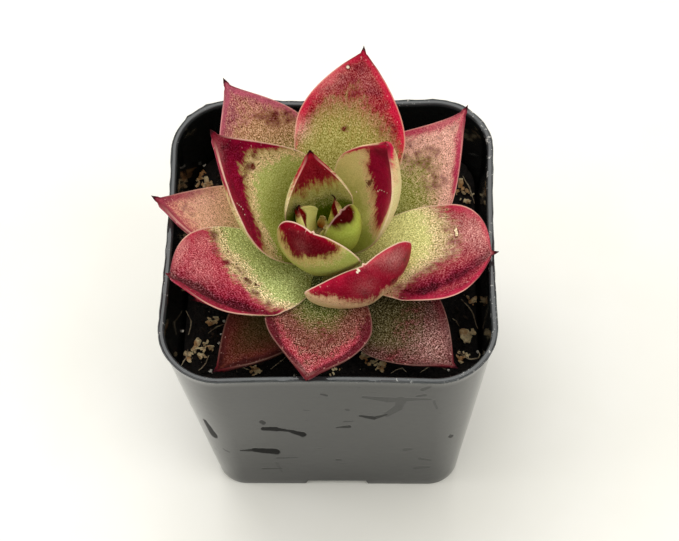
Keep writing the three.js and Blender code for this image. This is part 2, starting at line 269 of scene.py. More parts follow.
def patchyMaterial(name, grain, dark, light, roughness, level=0.5, stretch=1.0, relief=0.0):
    # two colours in soft patches: grain is the noise's scale, detail and roughness
    material, tree, shader = newMaterial(name)
    patch = cloud(tree, scaled(tree, objectPlace(tree), 1, 1, stretch), *grain)
    feed(tree, shader.inputs["Base Color"], mixColour(tree, ramp(tree, patch, -0.4, 0.4), dark, light))
    shader.inputs["Roughness"].default_value = roughness
    shader.inputs["Specular IOR Level"].default_value = level
    if relief:
        bumped(tree, shader, patch, relief, 0.0002)
    return material


def linear(red, green, blue):
    # an sRGB colour of 0 to 255 as a linear one
    def one(value):
        share = value / 255
        return share / 12.92 if share <= 0.04045 else ((share + 0.055) / 1.055) ** 2.4
    return one(red), one(green), one(blue)


# Camera, floor and light

cameraPlace = {
    "azimuth": 4.073, "elevation": 59.757, "distance": 332.304, "roll": -3.53,
    "focusPixels": 1871.233, "target": (1.318, 0.0, 41.708), "imageWidth": 679,
    "sensorWidth": 36, "nearest": 0.01,
}
studio = {
    "sky": (1.0, 0.98, 0.905), "skyStrength": 0.71,
    "keyPlace": (-70, 250, 560), "keySize": 460, "keyWatts": 1.34, "keyColour": (1.0, 0.992, 0.985),
    "windowPlace": (-430, -40, 240), "windowSize": 300, "windowWatts": 0.58,
    "windowColour": (1.0, 0.995, 0.985),
    "fillPlace": (220, -150, 430), "fillSize": 260, "fillWatts": 0.42, "fillColour": (1.0, 0.995, 0.985),
    "aimHeight": 40, "floorRadius": 3000, "floorSteps": 96,
}


def placeCamera():
    azimuth = math.radians(cameraPlace["azimuth"])
    elevation = math.radians(cameraPlace["elevation"])
    roll = math.radians(cameraPlace["roll"])
    back = Vector((math.sin(azimuth) * math.cos(elevation), -math.cos(azimuth) * math.cos(elevation),
                   math.sin(elevation)))
    right = (-back).cross(Vector((0, 0, 1))).normalized()
    up = right.cross(-back)
    rolledRight = right * math.cos(roll) + up * math.sin(roll)
    rolledUp = -right * math.sin(roll) + up * math.cos(roll)
    turn = Matrix((rolledRight, rolledUp, back)).transposed().to_4x4()
    place = (Vector(cameraPlace["target"]) + back * cameraPlace["distance"]) * mm
    data = bpy.data.cameras.new("photoCamera")
    data.sensor_fit = "HORIZONTAL"
    data.sensor_width = cameraPlace["sensorWidth"]
    data.lens = cameraPlace["focusPixels"] * data.sensor_width / cameraPlace["imageWidth"]
    data.clip_start = cameraPlace["nearest"]
    camera = bpy.data.objects.new("photoCamera", data)
    camera.matrix_world = Matrix.Translation(place) @ turn
    bpy.context.scene.collection.objects.link(camera)
    bpy.context.scene.camera = camera


def addSoftbox(name, place, size, watts, colour):
    data = bpy.data.lights.new(name, "AREA")
    data.shape = "DISK"
    data.size = size * mm
    data.energy = watts
    data.color = colour
    light = bpy.data.objects.new(name, data)
    light.location = Vector(place) * mm
    aim = Vector((0, 0, studio["aimHeight"] * mm)) - light.location
    light.rotation_euler = aim.to_track_quat("-Z", "Y").to_euler()
    bpy.context.scene.collection.objects.link(light)


def layFloor():
    steps = studio["floorSteps"]
    angles = np.arange(steps) * 2 * math.pi / steps
    radii = np.array([60, 150, 400, 1200, studio["floorRadius"]])
    rings = np.stack([radii[:, None] * np.cos(angles), radii[:, None] * np.sin(angles),
                      np.zeros((len(radii), steps))], axis=-1)
    outward = ringFaces(len(radii), steps)[:, ::-1]
    floor = addMesh("floor", np.concatenate([rings.reshape(-1, 3), [(0, 0, 0)]]), outward)
    addTriangles(floor, [(len(radii) * steps, k, (k + 1) % steps) for k in range(steps)], True)
    floor.data.materials.append(patchyMaterial("paleFloor", (22, 4, 0.55), linear(251, 250, 246),
                                               linear(247, 246, 240), 0.55))


def lightStudio():
    scene = bpy.context.scene
    scene.view_settings.view_transform = "Standard"
    scene.view_settings.look = "None"
    world = bpy.data.worlds.new("studio")
    world.use_nodes = True
    world.node_tree.nodes["Background"].inputs["Color"].default_value = (*studio["sky"], 1)
    world.node_tree.nodes["Background"].inputs["Strength"].default_value = studio["skyStrength"]
    scene.world = world
    for light in ("key", "window", "fill"):
        parts = [studio[light + part] for part in ("Place", "Size", "Watts", "Colour")]
        addSoftbox(f"{light}Light", *parts)


placeCamera()
layFloor()
lightStudio()
print("camera, floor and light placed")


# Pot

pot = {
    "height": 53.9, "rimSide": 57.0, "baseSide": 45.7, "rimCorner": 10.6, "baseCorner": 5.7, "bow": 0.35,
    "wall": 1.05, "floor": 2.4, "lipHeight": 0.8, "lipDepth": 0.3, "bottomRound": 0.45,
    "notchWidth": 12.0, "notchTop": 11.0, "notchHeight": 2.0, "notchDepth": 4.0,
    "drainRadius": 2.2, "drainOffset": 12.0, "drainSteps": 32, "sharpAngle": 50,
    "arcSteps": 20, "sideSteps": 24, "roundSteps": 6, "wallSteps": 24, "innerSteps": 18,
    "rimDepth": 0.4, "flash": 0.24, "flashReach": 0.3, "waviness": 0.07,
}


def squareRing(half, corner, bow, height):
    # a square with round corners and sides that bow inwards, anticlockwise from +X
    inner = half - corner
    arc = np.radians(np.linspace(0, 90, pot["arcSteps"] + 1))
    along = np.arange(1, pot["sideSteps"]) / pot["sideSteps"]
    x = np.concatenate([inner + corner * np.cos(arc), inner * (1 - 2 * along)])
    y = np.concatenate([inner + corner * np.sin(arc), half - bow * (1 - (2 * along - 1) ** 2)])
    quarters = []
    for quarter in range(4):
        turn = math.radians(90 * quarter)
        quarters.append(np.stack([x * math.cos(turn) - y * math.sin(turn),
                                  x * math.sin(turn) + y * math.cos(turn),
                                  np.full(len(x), height)], axis=-1))
    return np.concatenate(quarters)


def potRing(height, inset):
    part = height / pot["height"]
    half = (pot["baseSide"] + (pot["rimSide"] - pot["baseSide"]) * part) / 2
    corner = pot["baseCorner"] + (pot["rimCorner"] - pot["baseCorner"]) * part
    return squareRing(half - inset, max(corner - inset, 0.2), pot["bow"] * part, height)


def potSkin(profile):
    # profile is a list of heights and insets, lowest first
    return np.array([potRing(height, inset) for height, inset in profile])


def waveWall(rings, strength):
    # thin moulded walls are never quite flat
    for ring in rings:
        for point in ring:
            sway = noise.noise(Vector(point) * 0.06) * strength
            out = Vector((point[0], point[1], 0)).normalized()
            point[0] += out.x * sway
            point[1] += out.y * sway


def makePotShell():
    top = pot["height"]
    lipBottom = top - pot["lipHeight"]
    innerTop = top - pot["rimDepth"]
    rounding = pot["bottomRound"]
    roundSteps, wallSteps, innerSteps = pot["roundSteps"], pot["wallSteps"], pot["innerSteps"]
    outer = []
    for step in range(roundSteps + 1):
        angle = math.radians(90 * step / roundSteps)
        outer.append((rounding * (1 - math.cos(angle)), rounding * (1 - math.sin(angle))))
    for step in range(1, wallSteps + 1):
        part = step / wallSteps
        height = rounding + (lipBottom - rounding) * part
        outer.append((height, pot["lipDepth"] * part))
    # over the rim, from the foot of the lip to the inner face
    outer += [(lipBottom + 0.06, pot["lipDepth"] - 0.02), (lipBottom + 0.16, 0.06), (lipBottom + 0.24, 0.0),
              (top - 0.24, 0.0), (top - 0.1, 0.02), (top - 0.02, 0.07), (top, 0.13), (top, 0.2),
              (top - 0.05, 0.26), (top - 0.06, 0.4), (top - 0.03, 0.6), (top - 0.04, 0.78), (top - 0.1, 0.9),
              (top - 0.22, 1.0), (innerTop, pot["wall"])]
    inner = []
    for step in range(1, innerSteps + 1):
        part = step / innerSteps
        height = innerTop + (pot["floor"] + rounding - innerTop) * part
        inner.append((height, pot["wall"]))
    inner += [(pot["floor"] + 0.35, pot["wall"] + 0.2), (pot["floor"], pot["wall"] + rounding)]
    rings = potSkin(outer + inner)
    for index, (height, inset) in enumerate(outer + inner):
        # a ragged bit of moulding flash on the rim's outer edge
        if height > top - pot["flashReach"] and inset < pot["flashReach"]:
            for point in rings[index]:
                ridge = noise.noise(Vector((point[0] * 0.5, point[1] * 0.5, 3.0)))
                fine = noise.noise(Vector((point[0] * 2.1, point[1] * 2.1, 8.0)))
                ragged = pot["flash"] * max(0.0, 0.25 + ridge + 0.7 * fine)
                point[2] += 0.6 * ragged * (1 if inset < 0.22 else 0.3)
                away = Vector((point[0], point[1], 0)).normalized() * ragged * 0.8
                point[0] += away.x
                point[1] += away.y
    waveWall(rings[roundSteps + 2:roundSteps + wallSteps], pot["waviness"])
    return closedLoft("potShell", rings, (0, 0, 0), (0, 0, pot["floor"]))


def prism(name, first, second, flipped=False):
    # a closed block between two outlines of as many points
    count = len(first)
    faces = [(k, (k + 1) % count, count + (k + 1) % count, count + k) for k in range(count)]
    faces += [tuple(range(count))[::-1], tuple(range(count, 2 * count))]
    if flipped:
        faces = [face[::-1] for face in faces]
    block = bpy.data.meshes.new(name)
    block.from_pydata([Vector(point) * mm for point in first + second], [], faces)
    return block


def cutPot(shell):
    # the drain holes in the floor, and a notch under the middle of each side
    below, above, outside = -1, 4, 1
    half = pot["notchWidth"] / 2
    halfTop = pot["notchTop"] / 2
    lift = pot["notchHeight"]
    outline = [(-half, below), (half, below), (half, 0), (halfTop, lift), (-halfTop, lift), (-half, 0)]
    front = -pot["baseSide"] / 2
    radius = pot["drainRadius"]
    angles = [math.radians(360 * k / pot["drainSteps"]) for k in range(pot["drainSteps"])]
    cutters = []
    for side in range(4):
        turn = Matrix.Rotation(math.radians(90 * side), 4, "Z")
        near = [turn @ Vector((x, front - outside, z)) for x, z in outline]
        far = [turn @ Vector((x, front + pot["notchDepth"], z)) for x, z in outline]
        cutters.append(prism("notch", near, far, True))
        centre = turn @ Vector((pot["drainOffset"], pot["drainOffset"], 0))
        rim = [(centre.x + radius * math.cos(a), centre.y + radius * math.sin(a)) for a in angles]
        cutters.append(prism("drain", [(x, y, below) for x, y in rim], [(x, y, above) for x, y in rim]))
    for index, mesh in enumerate(cutters):
        cutter = bpy.data.objects.new(f"cutter{index}", mesh)
        bpy.context.scene.collection.objects.link(cutter)
        cut = shell.modifiers.new("cut", "BOOLEAN")
        cut.operation = "DIFFERENCE"
        cut.solver = "MANIFOLD"
        cut.object = cutter
    bpy.context.view_layer.update()
    evaluated = shell.evaluated_get(bpy.context.evaluated_depsgraph_get())
    result = bpy.data.meshes.new_from_object(evaluated)
    shell.modifiers.clear()
    shell.data = result
    for index in range(len(cutters)):
        bpy.data.objects.remove(bpy.data.objects[f"cutter{index}"])
    shell.data.set_sharp_from_angle(angle=math.radians(pot["sharpAngle"]))
    return shell


# A stroke on the front wall: start x and z, end x and z, and half its width at the start and at the end,
# all in millimetres, then how dark it is.
wallMarks = [
    (-12.0, 30.7, -9.7, 30.4, 0.26, 0.36, 1.0), (-9.7, 30.4, -7.4, 29.4, 0.3, 0.14, 1.0),
    (-7.4, 29.4, -5.3, 27.6, 0.2, 0.42, 1.0), (-16.9, 19.2, -14.4, 19.5, 0.08, 0.25, 0.9),
    (-14.4, 19.5, -10.6, 18.5, 0.3, 0.5, 1.0), (-10.6, 15.1, -6.9, 15.2, 0.1, 0.06, 0.5),
    (-11.9, 34.3, -11.7, 33.9, 0.28, 0.28, 0.8), (-22.3, 31.0, -21.3, 25.2, 0.25, 0.5, 1.0),
    (5.2, 37.1, 7.6, 36.1, 0.12, 0.22, 0.9), (7.6, 36.1, 9.8, 38.0, 0.22, 0.1, 0.8),
    (9.8, 38.0, 11.9, 41.8, 0.3, 0.45, 0.45), (11.9, 41.8, 12.3, 45.2, 0.45, 0.5, 0.4),
    (5.9, 46.2, 9.9, 45.2, 0.15, 0.3, 0.45), (9.9, 45.2, 17.3, 45.9, 0.35, 0.1, 0.4),
    (0.8, 31.0, 3.2, 31.7, 0.06, 0.2, 0.8), (2.4, 34.4, 3.9, 34.4, 0.1, 0.06, 0.5),
    (2.8, 40.2, 3.3, 40.0, 0.14, 0.14, 0.5), (-1.1, 47.4, -0.2, 46.8, 0.1, 0.16, 0.6),
    (14.9, 47.2, 16.4, 47.9, 0.1, 0.16, 0.5), (15.8, 50.2, 17.1, 51.5, 0.2, 0.1, 0.5),
    (17.9, 45.2, 18.4, 41.5, 0.12, 0.12, 0.4), (20.9, 25.2, 21.2, 24.6, 0.2, 0.2, 0.8),
    (-13.6, 9.1, -10.0, 9.3, 0.12, 0.08, 0.5), (-10.7, 12.5, -10.1, 7.4, 0.2, 0.1, 0.25),
    (0.4, 14.1, 1.2, 13.9, 0.14, 0.1, 0.5), (12.8, 20.1, 14.2, 20.5, 0.2, 0.12, 0.35),
    (15.7, 15.4, 17.7, 14.6, 0.2, 0.1, 0.35), (14.8, 9.8, 17.4, 10.6, 0.25, 0.15, 0.3),
    (-20.0, 18.8, -19.1, 18.0, 0.12, 0.12, 0.5), (-4.4, 40.0, -3.5, 39.8, 0.1, 0.1, 0.4),
]


def strokeMask(tree, x, z, stroke):
    # How much a place lies under a stroke, from 0 to 1. z comes at half its size, so that a stroke is blurred
    # twice as far up and down as sideways.
    widening = 1.8
    x1, z1, x2, z2, startWidth, endWidth, darkness = stroke
    z1, z2 = z1 / 2, z2 / 2
    length = math.hypot(x2 - x1, z2 - z1)
    ex, ez = (x2 - x1) / length, (z2 - z1) / length
    run = plus(tree, times(tree, x, ex), timesPlus(tree, z, ez, -x1 * ex - z1 * ez))
    off = plus(tree, times(tree, x, -ez), timesPlus(tree, z, ex, x1 * ez - z1 * ex))
    width = ramp(tree, run, 0.0, length, widening * startWidth, widening * endWidth, False)
    inside = calc(tree, "MINIMUM", calc(tree, "MAXIMUM", run, 0.0), length)
    over = calc(tree, "SUBTRACT", run, inside)
    apart = calc(tree, "SQRT", plus(tree, times(tree, over, over), times(tree, off, off)))
    return ramp(tree, calc(tree, "DIVIDE", apart, width), 1.15, 0.75, 0.0, darkness)


def potPlastic():
    material, tree, shader = newMaterial("potPlastic")
    place = objectPlace(tree)
    apart = put(tree, "ShaderNodeSeparateXYZ")
    tree.links.new(place, apart.inputs[0])
    broad = cloud(tree, place, 45, 2, 0.5)
    fine = cloud(tree, place, 700, 3, 0.6)
    specks = cloud(tree, place, 1500, 3, 0.7)
    drawn = cloud(tree, scaled(tree, place, 1, 1, 4), 130, 3, 0.6)
    wobble = cloud(tree, place, 300, 3, 0.6)
    x = timesPlus(tree, apart.outputs[0], 1000, times(tree, wobble, 0.3))
    z = timesPlus(tree, apart.outputs[2], 500, times(tree, wobble, 0.25))
    marks = 0.0
    for stroke in wallMarks:
        marks = calc(tree, "MAXIMUM", marks, strokeMask(tree, x, z, stroke))
    front = ramp(tree, apart.outputs[1], -0.0195, -0.0205)
    fineDashes = cloud(tree, scaled(tree, place, 1, 1, 2.6), 330, 2, 0.5)
    dashes = times(tree, ramp(tree, fineDashes, 0.42, 0.56), 0.5)
    marks = calc(tree, "MAXIMUM", times(tree, marks, front), dashes)
    colour = mixColour(tree, ramp(tree, broad, -0.5, 0.5), (0.0035, 0.0045, 0.0042), (0.0065, 0.0078, 0.0072))
    # a slate rim, with whitish specks painted on as glints (painted highlights), most on the +X side
    rim = ramp(tree, apart.outputs[2], 0.0530, 0.0536)
    colour = mixColour(tree, times(tree, rim, 0.8), colour, (0.034, 0.04, 0.043))
    towardsRight = ramp(tree, apart.outputs[0], 0.0, 0.028, 0.0, 0.14)
    glintSpread = plus(tree, timesPlus(tree, fine, 0.8, specks), towardsRight)
    rimGlint = times(tree, rim, ramp(tree, glintSpread, 0.4, 0.6))
    colour = mixColour(tree, times(tree, rimGlint, 0.85), colour, (0.5, 0.5, 0.48))
    colour = mixColour(tree, marks, colour, (0.002, 0.002, 0.002))
    feed(tree, shader.inputs["Base Color"], colour)
    scuff = ramp(tree, drawn, 0.05, 0.5)
    roughness = timesPlus(tree, scuff, 0.05, 0.1)
    roughness = timesPlus(tree, marks, 0.3, roughness)
    feed(tree, shader.inputs["Roughness"], timesPlus(tree, broad, 0.04, roughness))
    # the dark marks don't shine, and the lower wall shines less
    gloss = ramp(tree, apart.outputs[2], 0.002, 0.034, 0.25, 0.52)
    gloss = timesPlus(tree, fine, 0.05, gloss)
    gloss = times(tree, gloss, ramp(tree, marks, 0.0, 1.0, 1.0, 0.07, False))
    feed(tree, shader.inputs["Specular IOR Level"], gloss)
    relief = timesPlus(tree, marks, -6.0, plus(tree, fine, times(tree, rimGlint, 4.0)))
    bumped(tree, shader, relief, 0.25, 0.00003)
    return material


shell = cutPot(makePotShell())
finishPiece(shell, potPlastic(), ["pot"])
print("pot made:", len(shell.data.polygons), "faces")


# Leaves

leafForm = {
    "baseShare": 0.42, "endBody": 0.72, "bodyEnd": 0.75, "tipTaper": 3.0, "swellPower": 1.9,
    "swellRound": 0.85, "underShare": 0.75, "underPower": 1.35, "mostDepth": 1.3, "cupEnd": 0.6,
    "rollEnd": 0.5, "leastCup": 0.02, "edge": 0.26, "edgePower": 12, "mucroLength": 1.4, "mucroRadius": 0.38,
    "rows": 104, "columns": 46, "smallLength": 12, "ripple": 0.3, "dimple": 0.05, "groove": 0.34,
    "keel": 0.28, "creaseWidth": 0.9, "underFold": 0.6, "foot": 0.3, "midribSteps": 60,
}

# From the oldest leaf to the youngest. form is azimuth, radius, height, length, width, baseRise, tipRise,
# cup, roll, sweep, thick, widest, full and blunt, as in the solids, and point is how long the dark point is.
# redFrom is how far along the leaf the red begins, at even steps from the edge at -1 to the edge at +1.
# green, dusty and crimson are the leaf's colours, with painted light and shade in them: lighter on the deep
# inner leaves and darker on the front leaves that stand in shade. heart is the green at its base, partly its
# own tone and partly painted shade of the rosette's heart, and heartEnd where that ends. grainy is how coarse
# the skin looks, dust how thick the pink dust lies and reach how far it spreads, deep how dark the red is,
# fade how soft its border is in millimetres, edge how much brighter (or darker, below 0) the red gets at the
# margin, partly its own tone and partly painted light and shade, seam how plain the pale line outside the red
# is and seamColour its colour, and rim the pale edge and rimWide its width. blush is how strongly the red
# runs out beyond its border, and wander how far that border strays. A mark, scar, bloom and sheen (a pale
# waxy bloom with painted sheen in it) or shade (painted shade) is along, across, radius in millimetres and
# strength, a push moves the red's border by its last number in millimetres, and a fold is a line of places,
# then its depth and width in millimetres. dots and
# pits are small pale and brown spots: along, across, radius and whether it lies on the inner face. Names that
# begin with under are for the outer face.
hiddenSkin = {
    "redFrom": (.6, .72, .8, .82, .8, .72, .6), "green": (120, 118, 68), "dusty": (176, 112, 96),
    "crimson": (170, 60, 70), "grainy": 1.0, "dust": 0.9, "deep": 0.3, "fade": 2.2, "rim": 0.2,
}
leaves = [
    {"form": (82, 3.9, 44.4, 21.5, 14, 2, 30, 0.7, 0, 0, 3.0, 0.56, 1.7, 1.0), **hiddenSkin},
    {"form": (4, 3.9, 44.2, 21, 13, 0, 18, 0.6, 0, 0, 3.0, 0.56, 1.7, 1.0), **hiddenSkin},
    {"form": (203, 3.9, 44.3, 21, 12, 0, 20, 0.6, 0, 0, 3.0, 0.56, 1.7, 1.0), **hiddenSkin},
    {"form": (238, 3.8, 44.8, 28.3, 14.6, 0, 29, 0.67, -3.5, -6, 3.3, 0.51, 1.49, 0.91),
     "redFrom": (0.5, 0.7, 0.84, 0.88, 0.8, 0.62, 0.4), "green": (88, 72, 42), "dusty": (94, 46, 34),
     "crimson": (124, 56, 54), "grainy": 1.0, "dust": 0.9, "reach": 14, "deep": 0.3, "fade": 4.0,
     "edge": -0.6, "rim": 0.1, "shades": [(.8, 1, 5.0, .8), (.6, 1, 4.0, .7), (.95, 0, 4.0, .3)]},
    {"form": (312.7, 3.6, 45.3, 30.3, 18, -1, 19, 0.59, 2.2, 4, 3.4, 0.55, 1.62, 0.92),
     "redFrom": (.7, .84, .92, .92, .88, .74, .5), "green": (84, 76, 44), "dusty": (86, 50, 44),
     "crimson": (112, 38, 48), "grainy": 2.2, "dust": 1.1, "reach": 13, "deep": 0.3, "fade": 4.0,
     "edge": -0.3, "rim": 0.1, "marks": [(0.6, 0.1, 4.5, 0.4), (0.7, 0.4, 4.5, 0.4), (0.52, 0.5, 3.5, 0.35),
     (0.75, -0.4, 4.0, 0.4), (0.85, 0, 4, 0.3), (0.7, -0.85, 3.5, 0.4)], "shades": [(.85, 1, 4.0, .7),
     (.8, -1, 4.0, .7), (.6, -1, 3.0, .5)], "blooms": [(0.78, 0.2, 4.5, 0.22)]},
    {"form": (170.3, 3.4, 46.2, 29.4, 17, 9, 41, 0.91, 3.3, -1, 3.4, 0.53, 1.47, 1.02),
     "redFrom": (0.7, 0.73, 0.77, 0.77, 0.7, 0.6, 0.5), "green": (172, 152, 96), "dusty": (216, 168, 136),
     "crimson": (170, 66, 86), "grainy": 1.0, "dust": 1.2, "reach": 13, "deep": 0.25, "fade": 3.4,
     "rim": 0.3, "edge": -0.3, "marks": [(0.77, -0.25, 1.1, 0.5), (0.72, 0, 0.8, 0.45),
     (0.8, 0.3, 1.6, 0.25)], "blooms": [(.7, -.6, 3.2, .4), (.62, -.1, 3, .25)]},
    {"form": (38.6, 3.2, 46.4, 35, 20.3, -1, 46, 0.78, 7.8, 9, 3.4, 0.57, 1.25, 1.13),
     "redFrom": (0.55, 0.74, 0.86, 0.9, 0.86, 0.74, 0.55), "green": (150, 150, 80), "dusty": (224, 170, 154),
     "crimson": (180, 48, 84), "grainy": 1.5, "dust": 1.1, "reach": 16, "deep": 0.2, "fade": 2.4, "rim": 0.3,
     "edge": 0.0, "blooms": [(0.84, 0.5, 4.0, 0.3)], "marks": [(0.86, -0.1, 0.8, 0.6), (0.78, 0.2, 0.6, 0.4),
     (0.64, 0.15, 3.6, 0.52), (0.6, -0.35, 3.5, 0.45), (0.6, 0.5, 3.0, 0.45)]},
    {"form": (120, 3.4, 46.5, 33.7, 19.9, 10, 44, 0.88, 2.3, 5.5, 3.4, 0.61, 1.65, 1.14),
     "redFrom": (0.58, 0.72, 0.77, 0.78, 0.75, 0.66, 0.5), "green": (156, 146, 86), "dusty": (180, 137, 102),
     "crimson": (164, 80, 100), "grainy": 1.8, "dust": 1.1, "reach": 13, "deep": 0.25, "fade": 4.0,
     "rim": 0.25, "marks": [(0.69, -0.55, 2.0, 0.75), (0.66, -0.78, 1.6, 0.7), (0.72, -0.3, 1.2, 0.5),
     (0.74, 0.1, 1.0, 0.3)]},
    {"form": (270.9, 3.4, 46.9, 28.4, 18.9, 10, 32, 0.49, -6, -9.6, 3.4, 0.56, 1.79, 0.97),
     "redFrom": (0.4, 0.62, 0.78, 0.82, 0.78, 0.6, 0.34), "green": (116, 124, 66), "dusty": (122, 72, 60),
     "crimson": (190, 64, 84), "grainy": 2.4, "dust": 1.35, "reach": 15, "deep": 0.35, "fade": 3.6,
     "edge": -1.2, "rim": 0.12, "marks": [(0.5, 0.1, 1.2, 0.6), (0.46, 0, 0.8, 0.5), (0.58, 0.2, 3.4, 0.35),
     (0.56, -0.4, 3.0, 0.3), (0.62, 0, 3.5, 0.3)], "shades": [(0.75, 1, 3.4, 0.6), (0.62, -1, 3.4, 0.6),
     (0.5, 1, 3.4, 0.75), (0.45, -1, 3, 0.6), (0.88, -0.8, 2.5, 0.4), (0.86, 0.4, 3.6, 0.2)],
     "blooms": [(0.9, -0.3, 1.8, 0.15)]},
    {"form": (212, 2.8, 46.9, 29.6, 20.2, 18, 44, 0.39, 1.9, -13.8, 3.4, 0.51, 2.28, 0.56),
     "redFrom": (.6, .58, .555, .535, .51, .47, .36), "green": (192, 202, 128), "dusty": (198, 128, 128),
     "crimson": (167, 37, 66), "grainy": 1.8, "dust": 0.55, "reach": 5, "deep": 0.2, "fade": 1.3,
     "rim": 0.55, "seam": 1.0, "edge": 0.0,
     "folds": [((.96, .08), (.86, .34), (.72, .6), (.56, .83), (.42, .95), .5, 1.2)],
     "marks": [(.56, -.85, 1.2, .7), (.54, -.3, 1.0, .7), (.49, -.1, 1.2, .65), (.47, .15, .9, .7),
     (.46, .45, 1.0, .7), (.42, .75, 1.0, .6), (.6, -.5, .9, .5)], "shades": [(0.8, 0.55, 4.5, 0.7),
     (0.62, 0.75, 3.2, 0.7), (0.84, 0.05, 3, 0.35), (0.7, 0.3, 3, 0.35)], "blooms": [(0.86, -0.88, 2.6, 0.4),
     (0.74, -0.2, 3.4, 0.2), (0.68, -0.7, 2.6, 0.2)], "heart": (170, 176, 104), "heartEnd": 0.2,
     "blush": 0.08, "pits": [(0.425, 0.27, 0.42, True), (0.41, 0.3, 0.3, True), (0.5, -0.5, 0.3, True),
     (0.47, 0.1, 0.3, True)]},
    {"form": (348.9, 2.8, 47.7, 29.2, 19.4, 12, 23, 0.28, 0.7, 4.8, 3.4, 0.66, 2.49, 0.5),
     "redFrom": (0.4, 0.47, 0.62, 0.73, 0.75, 0.7, 0.62), "green": (220, 218, 143), "dusty": (154, 118, 98),
     "crimson": (152, 30, 58), "grainy": 1.45, "dust": 0.8, "reach": 7, "deep": 0.3, "fade": 2.0, "rim": 0.5,
     "seam": 0.6, "edge": 0.6,
     "folds": [((.97, -.1), (.86, -.35), (.72, -.58), (.58, -.78), (.46, -.93), .45, 1.2)],
     "marks": [(.72, .25, 1.4, .5), (.66, .55, 1.2, .4), (.7, 0, 1.3, .5), (.6, -.35, 1.4, .5),
     (.76, .62, .8, .6), (.52, -.7, 1.6, .5)], "shades": [(0.8, -0.75, 2.8, 0.35), (0.6, -0.85, 2.8, 0.45),
     (0.4, -0.8, 4.0, 0.4), (0.84, 0, 3, 0.1)], "scars": [(0.735, 0.38, 0.42, 1.25),
     (0.73, 0.45, 0.42, 1.25), (0.725, 0.52, 0.34, 1.1)], "blooms": [(.84, .5, 3.4, .4),
     (.74, .1, 2.0, .15)], "heart": (176, 184, 104), "heartEnd": 0.2, "blush": 0.08},
    {"form": (69.7, 2.6, 48.4, 36.1, 20.2, 35, 67, 0.2, -5, 6.8, 3.4, 0.56, 1.71, 0.95),
     "redFrom": (0.5, 0.62, 0.7, 0.73, 0.73, 0.67, 0.42), "green": (160, 152, 84), "dusty": (148, 114, 80),
     "crimson": (160, 20, 50), "grainy": 1.4, "dust": 0.75, "reach": 7, "deep": 0.35, "fade": 3.0,
     "rim": 0.4, "seam": 0.0, "edge": 1.0, "heart": (156, 162, 66), "marks": [(0.76, 0.1, 2.4, 0.3),
     (0.62, -0.75, 1.1, 0.5), (0.6, -0.5, 1.0, 0.4), (0.56, 0.12, 0.7, 0.7), (0.57, -0.55, 0.8, 0.4)],
     "shades": [(0.79, 0.2, 3.0, 0.35), (0.77, -0.2, 2.6, 0.25), (0.96, 0, 3.2, 0.6)],
     "blooms": [(0.82, -0.25, 2.6, 0.12), (0.5, 0.95, 2.2, 0.5), (0.78, 0.95, 3.0, 0.3)],
     "dots": [(0.869, 0.65, 0.36, True), (0.993, 0, 0.34, True)], "pits": [(0.56, 0.14, 0.42, True),
     (0.55, 0.13, 0.3, True), (0.868, 0.62, 0.6, True)], "blush": 0.12},
    {"form": (155.8, 2.2, 48.9, 29.7, 21.5, 44, 60, 1.0, -2.3, -8.9, 3.4, 0.49, 1.44, 1.08),
     "redFrom": (0.58, 0.68, 0.72, 0.68, 0.53, 0.37, 0.26), "green": (178, 184, 106),
     "dusty": (182, 130, 110), "crimson": (156, 12, 54), "grainy": 0.85, "dust": 0.3, "reach": 5,
     "deep": 0.75, "fade": 1.5, "rim": 0.55, "seam": 0.9, "edge": 0.3, "heart": (144, 150, 62),
     "marks": [(.65, -.2, 1.1, 1.0), (.63, .05, .9, .7), (.67, -.45, .9, .6)],
     "shades": [(0.88, 0.1, 3.5, 0.35)], "blooms": [(0.86, 0.85, 2.0, 0.15)], "heartEnd": 0.4,
     "seamColour": (222, 188, 146), "blush": 0.12, "pits": [(0.625, -0.24, 0.6, True),
     (0.64, -0.28, 0.4, True)], "dots": [(0.606, 0.76, 0.16, True), (0.585, 0.7, 0.16, True),
     (0.565, 0.65, 0.15, True), (0.545, 0.63, 0.15, True), (0.52, 0.67, 0.15, True)]},
    {"form": (306.5, 4.2, 47.4, 19.4, 21.8, -1, 120, 0.62, -12, 4.5, 3.7, 0.64, 2.9, 0.5), "point": 0.5,
     "redFrom": (.7, .7, .68, .66, .66, .68, .7), "underRedFrom": (0.74, 0.72, 0.68, 0.64, 0.6, 0.56, 0.5),
     "green": (150, 142, 76), "underGreen": (234, 214, 160), "dusty": (246, 140, 138),
     "crimson": (160, 20, 48), "grainy": 0.4, "dust": 0.2, "reach": 3, "deep": 0.5, "fade": 1.3, "rim": 0.8,
     "seam": 0.8, "seamColour": (238, 212, 168), "underMarks": [(.68, .4, 1.0, .7), (.7, -.1, 1.0, .5),
     (.75, .7, .9, .6)], "underBlooms": [(0.86, 0.6, 2.2, 0.3), (0.8, -0.1, 1.8, 0.12)], "blush": 0.2,
     "dots": [(0.965, -0.36, 0.26, False), (0.955, -0.33, 0.22, False)]},
    {"form": (26.8, 2.0, 50.4, 27.2, 18, 26, 103, 0.95, -1.7, 13, 3.2, 0.52, 1.88, 0.87),
     "redFrom": (0.42, 0.38, 0.36, 0.38, 0.42, 0.46, 0.49, 0.53, 0.58, 0.66, 0.76, 0.8, 0.58),
     "underRedFrom": (0.86, 0.87, 0.9, 0.93, 0.92, 0.9, 0.88), "green": (220, 205, 136),
     "underGreen": (222, 208, 148), "dusty": (246, 122, 124), "crimson": (168, 16, 56), "grainy": 0.3,
     "dust": 0.2, "reach": 2.5, "deep": 0.6, "fade": 1.1, "rim": 0.35, "rimWide": 0.3, "seam": 0.6,
     "heart": (158, 164, 68), "heartEnd": 0.4, "marks": [(.49, .2, .7, 1.0)],
